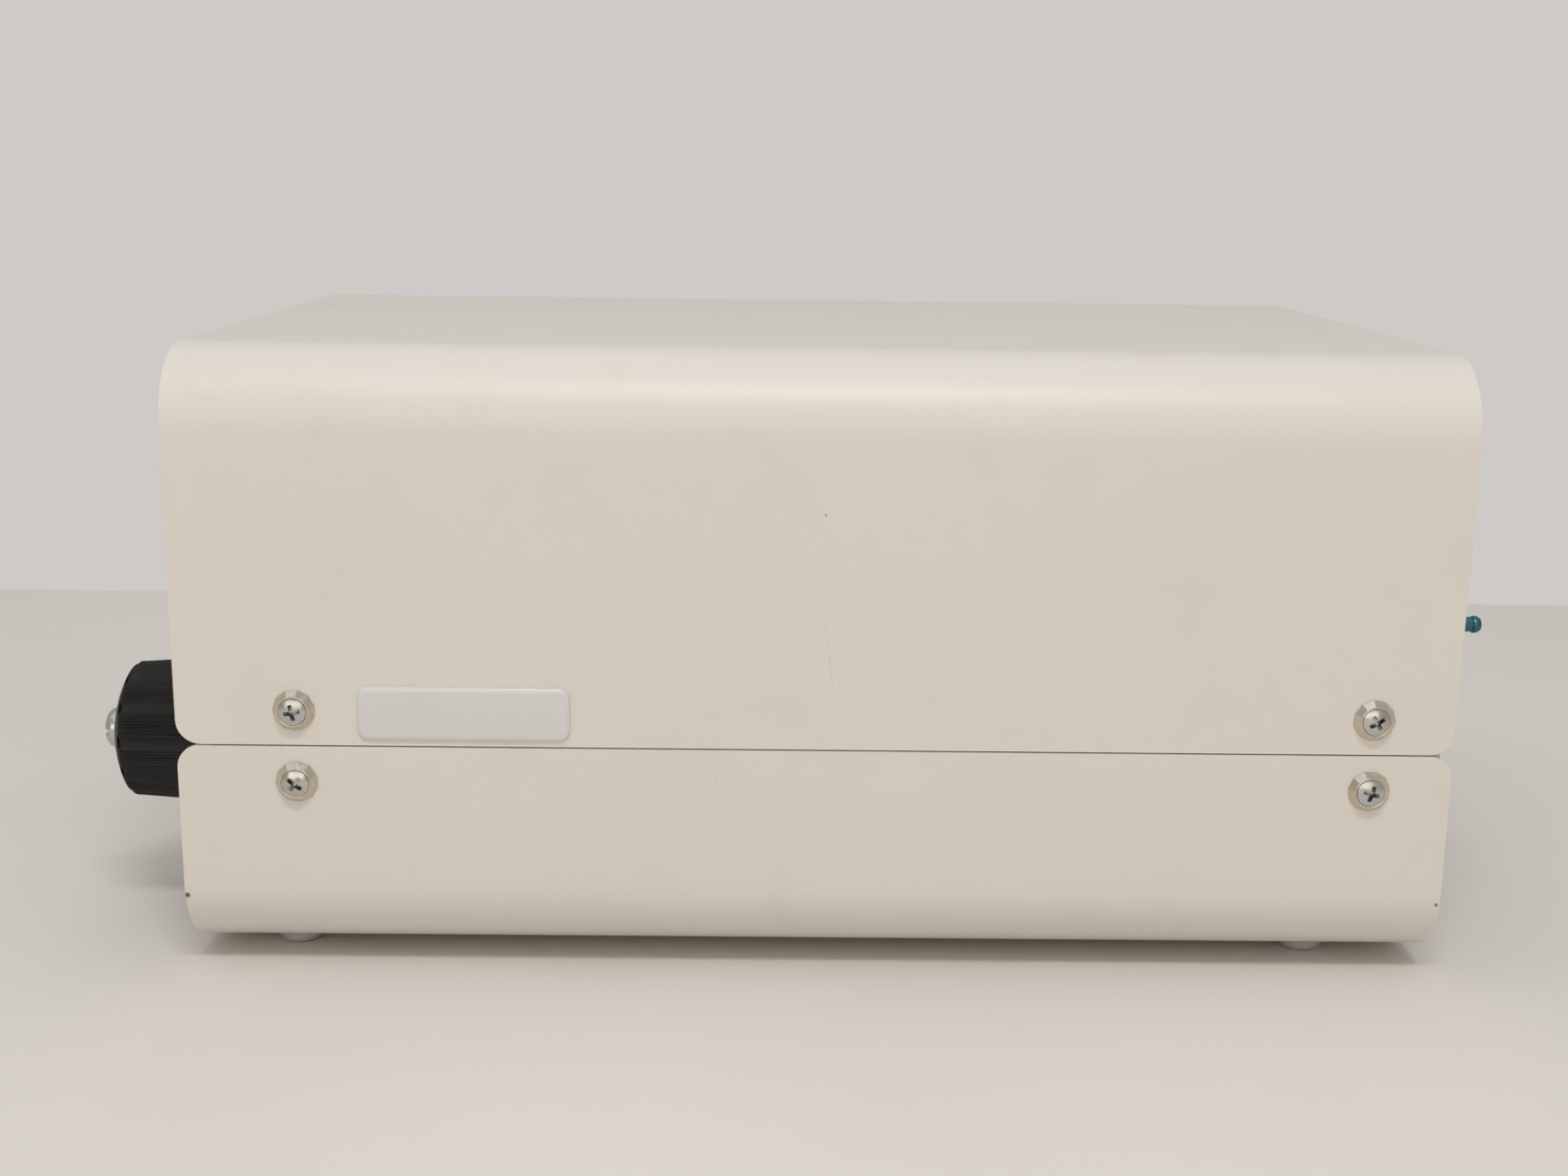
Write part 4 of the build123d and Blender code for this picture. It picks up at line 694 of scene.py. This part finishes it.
def rounded_outline(width, height, radius, steps=8):
    """Outline of a rectangle with round corners, about its middle."""
    outline = []
    for across, up, start in ((1, 1, 0), (-1, 1, 90), (-1, -1, 180), (1, -1, 270)):
        corner = (across * (width / 2 - radius), up * (height / 2 - radius))
        outline += arc_points(corner, radius, start, start + 90, steps)
    return outline


def dome_plate(width, height, radius, depth, crown):
    """Plate that rises to its depth over a crown's width, as poured resin does."""
    rings = []
    for step in range(9):
        angle = math.radians(step * 90 / 8)
        inset = crown * (1 - math.cos(angle)) * 0.999
        rise = depth * (0.35 + 0.65 * math.sin(angle))
        outline = rounded_outline(width - 2 * inset, height - 2 * inset, radius - inset * 0.9)
        if not rings:
            rings.append([Vector((x, y, 0)) for x, y in outline])
        rings.append([Vector((x, y, rise)) for x, y in outline])
    return rings_form(rings)


label_low, label_high = box_mm("badge")
label_middle = (label_low + label_high) / 2
label_place = Matrix.Translation((label_middle.x, -SIDE_Y, label_middle.z)) @ Matrix.Rotation(
    math.radians(90), 4, "X"
)
label_width = label_high.x - label_low.x
label_height = label_high.z - label_low.z
label_form = dome_plate(label_width, label_height, LABEL_CORNER, LABEL_DEPTH, LABEL_CROWN)
piece(
    "blank_label",
    moved(label_form, label_place),
    LOOKS["label_resin"],
    "case",
    ["badge"],
)


# Knob: domed face, twelve smooth flutes and fine ribs on the lands between them

KNOB_DEPTH = 28.2
KNOB_BASE_RADIUS = 21.05
KNOB_SHOULDER_RADIUS = 19.5
KNOB_DOME = 38.0
KNOB_RIM = 2.0
FLUTES = 12
FLUTE_RADIUS = 3.0
FLUTE_DEPTH = 0.9
RIBS_PER_LAND = 7
RIB_DEPTH = 0.34
KNOB_STEPS = 600
KNOB_ROLL = 3.5
KNOB_HOLLOW_RADIUS = 17.0
KNOB_HOLLOW_DEPTH = 8.5
TAPER_MARGIN = 5.7
FILLET_MARGIN = 7.7
FLUTE_EDGE = 0.72

knob_middle = centre_mm("knob")
knob_axis = Vector((box_mm("knob")[1].x, knob_middle.y, knob_middle.z))


def knob_radius(bearing, radius, smooth):
    """Radius of the knob's grip at a bearing, with its flutes and ribs."""
    pitch = 2 * math.pi / FLUTES
    from_flute = (bearing + pitch / 2) % pitch - pitch / 2
    away = radius + FLUTE_RADIUS - FLUTE_DEPTH
    reach = away * math.sin(from_flute)
    if abs(reach) < FLUTE_RADIUS:
        scallop = away * math.cos(from_flute) - math.sqrt(FLUTE_RADIUS**2 - reach**2)
        if scallop < radius:
            return scallop
    edge = math.asin(FLUTE_RADIUS * FLUTE_EDGE / radius)
    share = (abs(from_flute) - edge) / (pitch / 2 - edge)
    ribs = 0.5 - 0.5 * math.cos(math.pi * RIBS_PER_LAND * max(0.0, share))
    return radius - RIB_DEPTH * ribs * smooth


def knob_form():
    """Outside of the knob, with the hollow in its back."""
    taper = (KNOB_BASE_RADIUS - KNOB_SHOULDER_RADIUS) / (KNOB_DEPTH - TAPER_MARGIN)
    dome_centre = KNOB_DEPTH - KNOB_DOME
    fillet_radius = KNOB_BASE_RADIUS - taper * (KNOB_DEPTH - FILLET_MARGIN) - KNOB_RIM
    fillet_height = dome_centre + math.sqrt((KNOB_DOME - KNOB_RIM) ** 2 - fillet_radius**2)
    stations = [(KNOB_HOLLOW_RADIUS, KNOB_HOLLOW_DEPTH, 0.0), (KNOB_HOLLOW_RADIUS, 0.0, 0.0)]
    for step in range(9):
        height = fillet_height * step / 8
        stations.append((KNOB_BASE_RADIUS - taper * height, height, 1.0))
    tangent = math.degrees(math.atan2(fillet_height - dome_centre, fillet_radius))
    fillet_points = arc_points((fillet_radius, fillet_height), KNOB_RIM, 8, tangent, 7)
    for step, (radius, height) in enumerate(fillet_points):
        stations.append((radius, height, max(0.0, 1 - step / 5)))
    last = fillet_points[-1][0]
    for step in range(1, 11):
        radius = last * (1 - step / 10) + 0.01
        stations.append((radius, dome_centre + math.sqrt(KNOB_DOME**2 - radius**2), 0.0))
    rings = []
    for radius, height, smooth in stations:
        ring = []
        for step in range(KNOB_STEPS):
            bearing = 2 * math.pi * step / KNOB_STEPS
            grip = radius
            if radius > last and height > 0 or smooth > 0:
                grip = knob_radius(bearing, radius, smooth)
            ring.append(Vector((grip * math.cos(bearing), grip * math.sin(bearing), height)))
        rings.append(ring)
    return rings_form(rings)


knob_place = facing(knob_axis, (-1, 0, 0), KNOB_ROLL)
piece(
    "fluted_knob",
    moved(knob_form(), knob_place),
    LOOKS["knob_plastic"],
    "knob_set",
    ["knob"],
    24,
)

SCREW_HEAD_RADIUS = 5.9
SCREW_HEAD_HEIGHT = 3.6
SCREW_SHANK_RADIUS = 3.0
SCREW_LENGTH = 14.0
SCREW_EDGE = 0.15
SCREW_RIM = 0.9
SCREW_ROUNDING = 2.7
SLOT_SIZE = (3.2, 14.0, 1.6)

screw_profile = [
    (SCREW_SHANK_RADIUS, -SCREW_LENGTH),
    (SCREW_SHANK_RADIUS, 0.0),
    (SCREW_HEAD_RADIUS - SCREW_EDGE, 0.0),
    (SCREW_HEAD_RADIUS, SCREW_EDGE),
    (SCREW_HEAD_RADIUS, SCREW_RIM),
]
rounding_centre = (SCREW_HEAD_RADIUS - SCREW_ROUNDING, SCREW_RIM)
screw_profile += arc_points(rounding_centre, SCREW_ROUNDING, 12, 84, 8)
screw_profile += [(0.01, SCREW_HEAD_HEIGHT)]
screw_base = Vector((knob_axis.x - KNOB_DEPTH, knob_axis.y, knob_axis.z))
slotted = piece(
    "knob_fixing_screw",
    moved(turned_form(screw_profile), facing(screw_base, (-1, 0, 0))),
    LOOKS["screw_zinc"],
    "knob_set",
    ["knob_screw"],
)
slot_place = (screw_base.x - SCREW_HEAD_HEIGHT, knob_axis.y, knob_axis.z)
carved(slotted, block_form(SLOT_SIZE, slot_place))
slotted.data.shade_smooth()
slotted.data.set_sharp_from_angle(angle=math.radians(30))
softened(slotted, 0.12, 2, 40)


# Hose nipples

HEX_HALF = 5.0
HEX_HEIGHT = 5.0
HEX_TRIM = 0.3
BARB_RUN = 1.1
BARB_LAND = 1.2
SHANK = 2.175
CREST = 2.5
BORE = 1.3

def nipple_form(tip, panel_face):
    """Turned nipple with hex flats, collar, shank and one barb, along its own Z from the panel."""
    reach = tip - panel_face
    hexagon = []
    for height in (0.0, HEX_TRIM, HEX_HEIGHT - HEX_TRIM, HEX_HEIGHT):
        trim = HEX_TRIM if height in (0.0, HEX_HEIGHT) else 0.0
        ring = []
        for step in range(6):
            bearing = math.radians(60 * step)
            radius = (HEX_HALF - trim) / math.cos(math.radians(30))
            ring.append(Vector((radius * math.cos(bearing), radius * math.sin(bearing), height)))
        hexagon.append(ring)
    land_end = reach - BARB_RUN
    land_start = land_end - BARB_LAND
    profile = [
        (4.0, -8.0),
        (4.0, HEX_HEIGHT),
        (3.75, 5.2),
        (3.6, 9.2),
        (3.35, 9.5),
        (SHANK, 9.6),
        (SHANK, land_start - 0.3),
        (2.42, land_start - 0.06),
        (CREST, land_start + 0.1),
        (CREST, land_end - 0.1),
        (2.44, land_end + 0.15),
        (2.0, reach - 0.25),
        (1.85, reach - 0.05),
        (1.7, reach),
        (1.35, reach),
        (BORE, reach - 0.15),
        (BORE, reach - 10.0),
    ]
    return joined(rings_form(hexagon), turned_form(profile, 40))


panel_face = box_mm("rear_panel")[1].x
for node in ("gas_inlet_nipple", "gas_outlet_nipple"):
    middle = centre_mm(node)
    start = Vector((panel_face, middle.y, middle.z))
    piece(
        node.replace("nipple", "fitting"),
        moved(nipple_form(box_mm(node)[1].x, panel_face), facing(start, (1, 0, 0))),
        LOOKS["nipple_blue"],
        "case",
        [node],
        28,
    )


# Stage

TABLE_EDGE = 0.357
FLOOR_SIZE = 14.0
TABLE_COLOUR = (222, 217, 212)
TABLE_SHADE = (215, 210, 204)
BACKDROP_COLOUR = (206, 202, 199)
SKY_COLOUR = (207, 203, 200)
SKY_STRENGTH = 0.5
LOW_LIGHT = (1.0, 0.9, 0.72, 1.0)
HIGH_LIGHT = (0.97, 0.99, 1.0, 1.0)


def background(tree, lit, colour):
    """Shader that shows a flat colour to the camera and in gloss, and the lit shader to light."""
    nodes = tree.nodes
    links = tree.links
    path = nodes.new("ShaderNodeLightPath")
    seen = None
    for ray in ("Is Camera Ray", "Is Glossy Ray", "Is Transmission Ray"):
        if seen is None:
            seen = path.outputs[ray]
            continue
        most = nodes.new("ShaderNodeMath")
        most.operation = "MAXIMUM"
        links.new(seen, most.inputs[0])
        links.new(path.outputs[ray], most.inputs[1])
        seen = most.outputs[0]
    flat = nodes.new("ShaderNodeEmission")
    flat.inputs["Color"].default_value = linear(colour)
    mix = nodes.new("ShaderNodeMixShader")
    links.new(seen, mix.inputs["Fac"])
    links.new(lit, mix.inputs[1])
    links.new(flat.outputs[0], mix.inputs[2])
    return mix.outputs["Shader"]


def floor_material():
    """Pale table top in front, and a flat pale backdrop beyond its far edge."""
    table = Surface("stage_floor", TABLE_COLOUR, 0.6)
    table.tint(table.ramp(table.noise(5, 3), 0.35, 0.7, 0, 0.5), TABLE_SHADE)
    tree = table.tree
    beyond = table.node("ShaderNodeSeparateXYZ")
    table.join(table.place, beyond.inputs["Vector"])
    edge = table.ramp(beyond.outputs["Y"], TABLE_EDGE - 0.001, TABLE_EDGE + 0.001)
    backdrop = background(tree, table.shader.outputs["BSDF"], BACKDROP_COLOUR)
    mix = table.node("ShaderNodeMixShader")
    table.join(edge, mix.inputs["Fac"])
    table.join(table.shader.outputs["BSDF"], mix.inputs[1])
    table.join(backdrop, mix.inputs[2])
    table.join(mix.outputs["Shader"], tree.nodes["Material Output"].inputs["Surface"])
    return table.material


floor_mesh = bpy.data.meshes.new("floor")
floor_half = FLOOR_SIZE / 2
floor_mesh.from_pydata(
    [
        (-floor_half, -floor_half, 0),
        (floor_half, -floor_half, 0),
        (floor_half, floor_half, 0),
        (-floor_half, floor_half, 0),
    ],
    [],
    [[0, 1, 2, 3]],
)
floor_mesh.materials.append(floor_material())
floor = bpy.data.objects.new("floor", floor_mesh)
bpy.context.scene.collection.objects.link(floor)

world = bpy.data.worlds.new("world")
bpy.context.scene.world = world
world.use_nodes = True
sky = world.node_tree.nodes["Background"]
sky.inputs["Strength"].default_value = SKY_STRENGTH
direction = world.node_tree.nodes.new("ShaderNodeTexCoord")
rise = world.node_tree.nodes.new("ShaderNodeSeparateXYZ")
world.node_tree.links.new(direction.outputs["Generated"], rise.inputs["Vector"])
sky_colours = world.node_tree.nodes.new("ShaderNodeValToRGB")
sky_colours.color_ramp.elements[0].color = LOW_LIGHT
sky_colours.color_ramp.elements[0].position = 0.15
sky_colours.color_ramp.elements[1].color = HIGH_LIGHT
sky_colours.color_ramp.elements[1].position = 0.6
world.node_tree.links.new(rise.outputs["Z"], sky_colours.inputs["Fac"])
world.node_tree.links.new(sky_colours.outputs["Color"], sky.inputs["Color"])
path = world.node_tree.nodes.new("ShaderNodeLightPath")
backdrop = world.node_tree.nodes.new("ShaderNodeBackground")
backdrop.inputs["Color"].default_value = linear(SKY_COLOUR)
sky_mix = world.node_tree.nodes.new("ShaderNodeMixShader")
world.node_tree.links.new(path.outputs["Is Camera Ray"], sky_mix.inputs["Fac"])
world.node_tree.links.new(sky.outputs["Background"], sky_mix.inputs[1])
world.node_tree.links.new(backdrop.outputs["Background"], sky_mix.inputs[2])
world.node_tree.links.new(
    sky_mix.outputs["Shader"], world.node_tree.nodes["World Output"].inputs["Surface"]
)


def lamp(name, place, aim, size, power, colour):
    """Soft rectangular lamp that faces a point."""
    light = bpy.data.lights.new(name, "AREA")
    light.shape = "RECTANGLE"
    light.size, light.size_y = size
    light.energy = power
    light.color = colour
    obj = bpy.data.objects.new(name, light)
    bpy.context.scene.collection.objects.link(obj)
    obj.location = place
    obj.rotation_euler = (Vector(aim) - Vector(place)).to_track_quat("-Z", "Y").to_euler()
    return obj


PANEL_AIM = (0.0, -0.1, 0.1)
CASE_AIM = (0, 0, 0.1)
PANEL_WHITE = (1.0, 0.985, 0.96)
COOL_WHITE = (0.98, 0.985, 1.0)
WARM_WHITE = (1.0, 0.93, 0.82)

lamps = [
    lamp("ceiling_panel", (0.05, -0.88, 1.44), PANEL_AIM, (0.62, 0.2), 8.6, PANEL_WHITE),
    lamp("ceiling_wide", (-0.3, 0.2, 2.2), CASE_AIM, (3.0, 2.0), 8.0, COOL_WHITE),
    lamp("front_fill", (-0.3, -2.0, 0.7), CASE_AIM, (2.4, 1.0), 8.6, WARM_WHITE),
]


# Camera at the photograph's angle

CAMERA_PLACE = Vector((-0.00789, -0.59824, 0.21543))
CAMERA_RIGHT = Vector((0.99989, -0.0084, 0.01242))
CAMERA_UP = Vector((-0.01032, 0.21531, 0.97649))
CAMERA_LENS = 43.7

camera_data = bpy.data.cameras.new("camera")
camera_data.lens = CAMERA_LENS
camera_data.sensor_width = 36.0
camera_data.clip_start = 0.02
camera = bpy.data.objects.new("camera", camera_data)
bpy.context.scene.collection.objects.link(camera)
backward = CAMERA_RIGHT.cross(CAMERA_UP).normalized()
upward = backward.cross(CAMERA_RIGHT).normalized()
camera.matrix_world = Matrix.Translation(CAMERA_PLACE) @ Matrix(
    (CAMERA_RIGHT.normalized(), upward, backward)
).transposed().to_4x4()
bpy.context.scene.camera = camera
bpy.context.scene.view_settings.view_transform = "Standard"
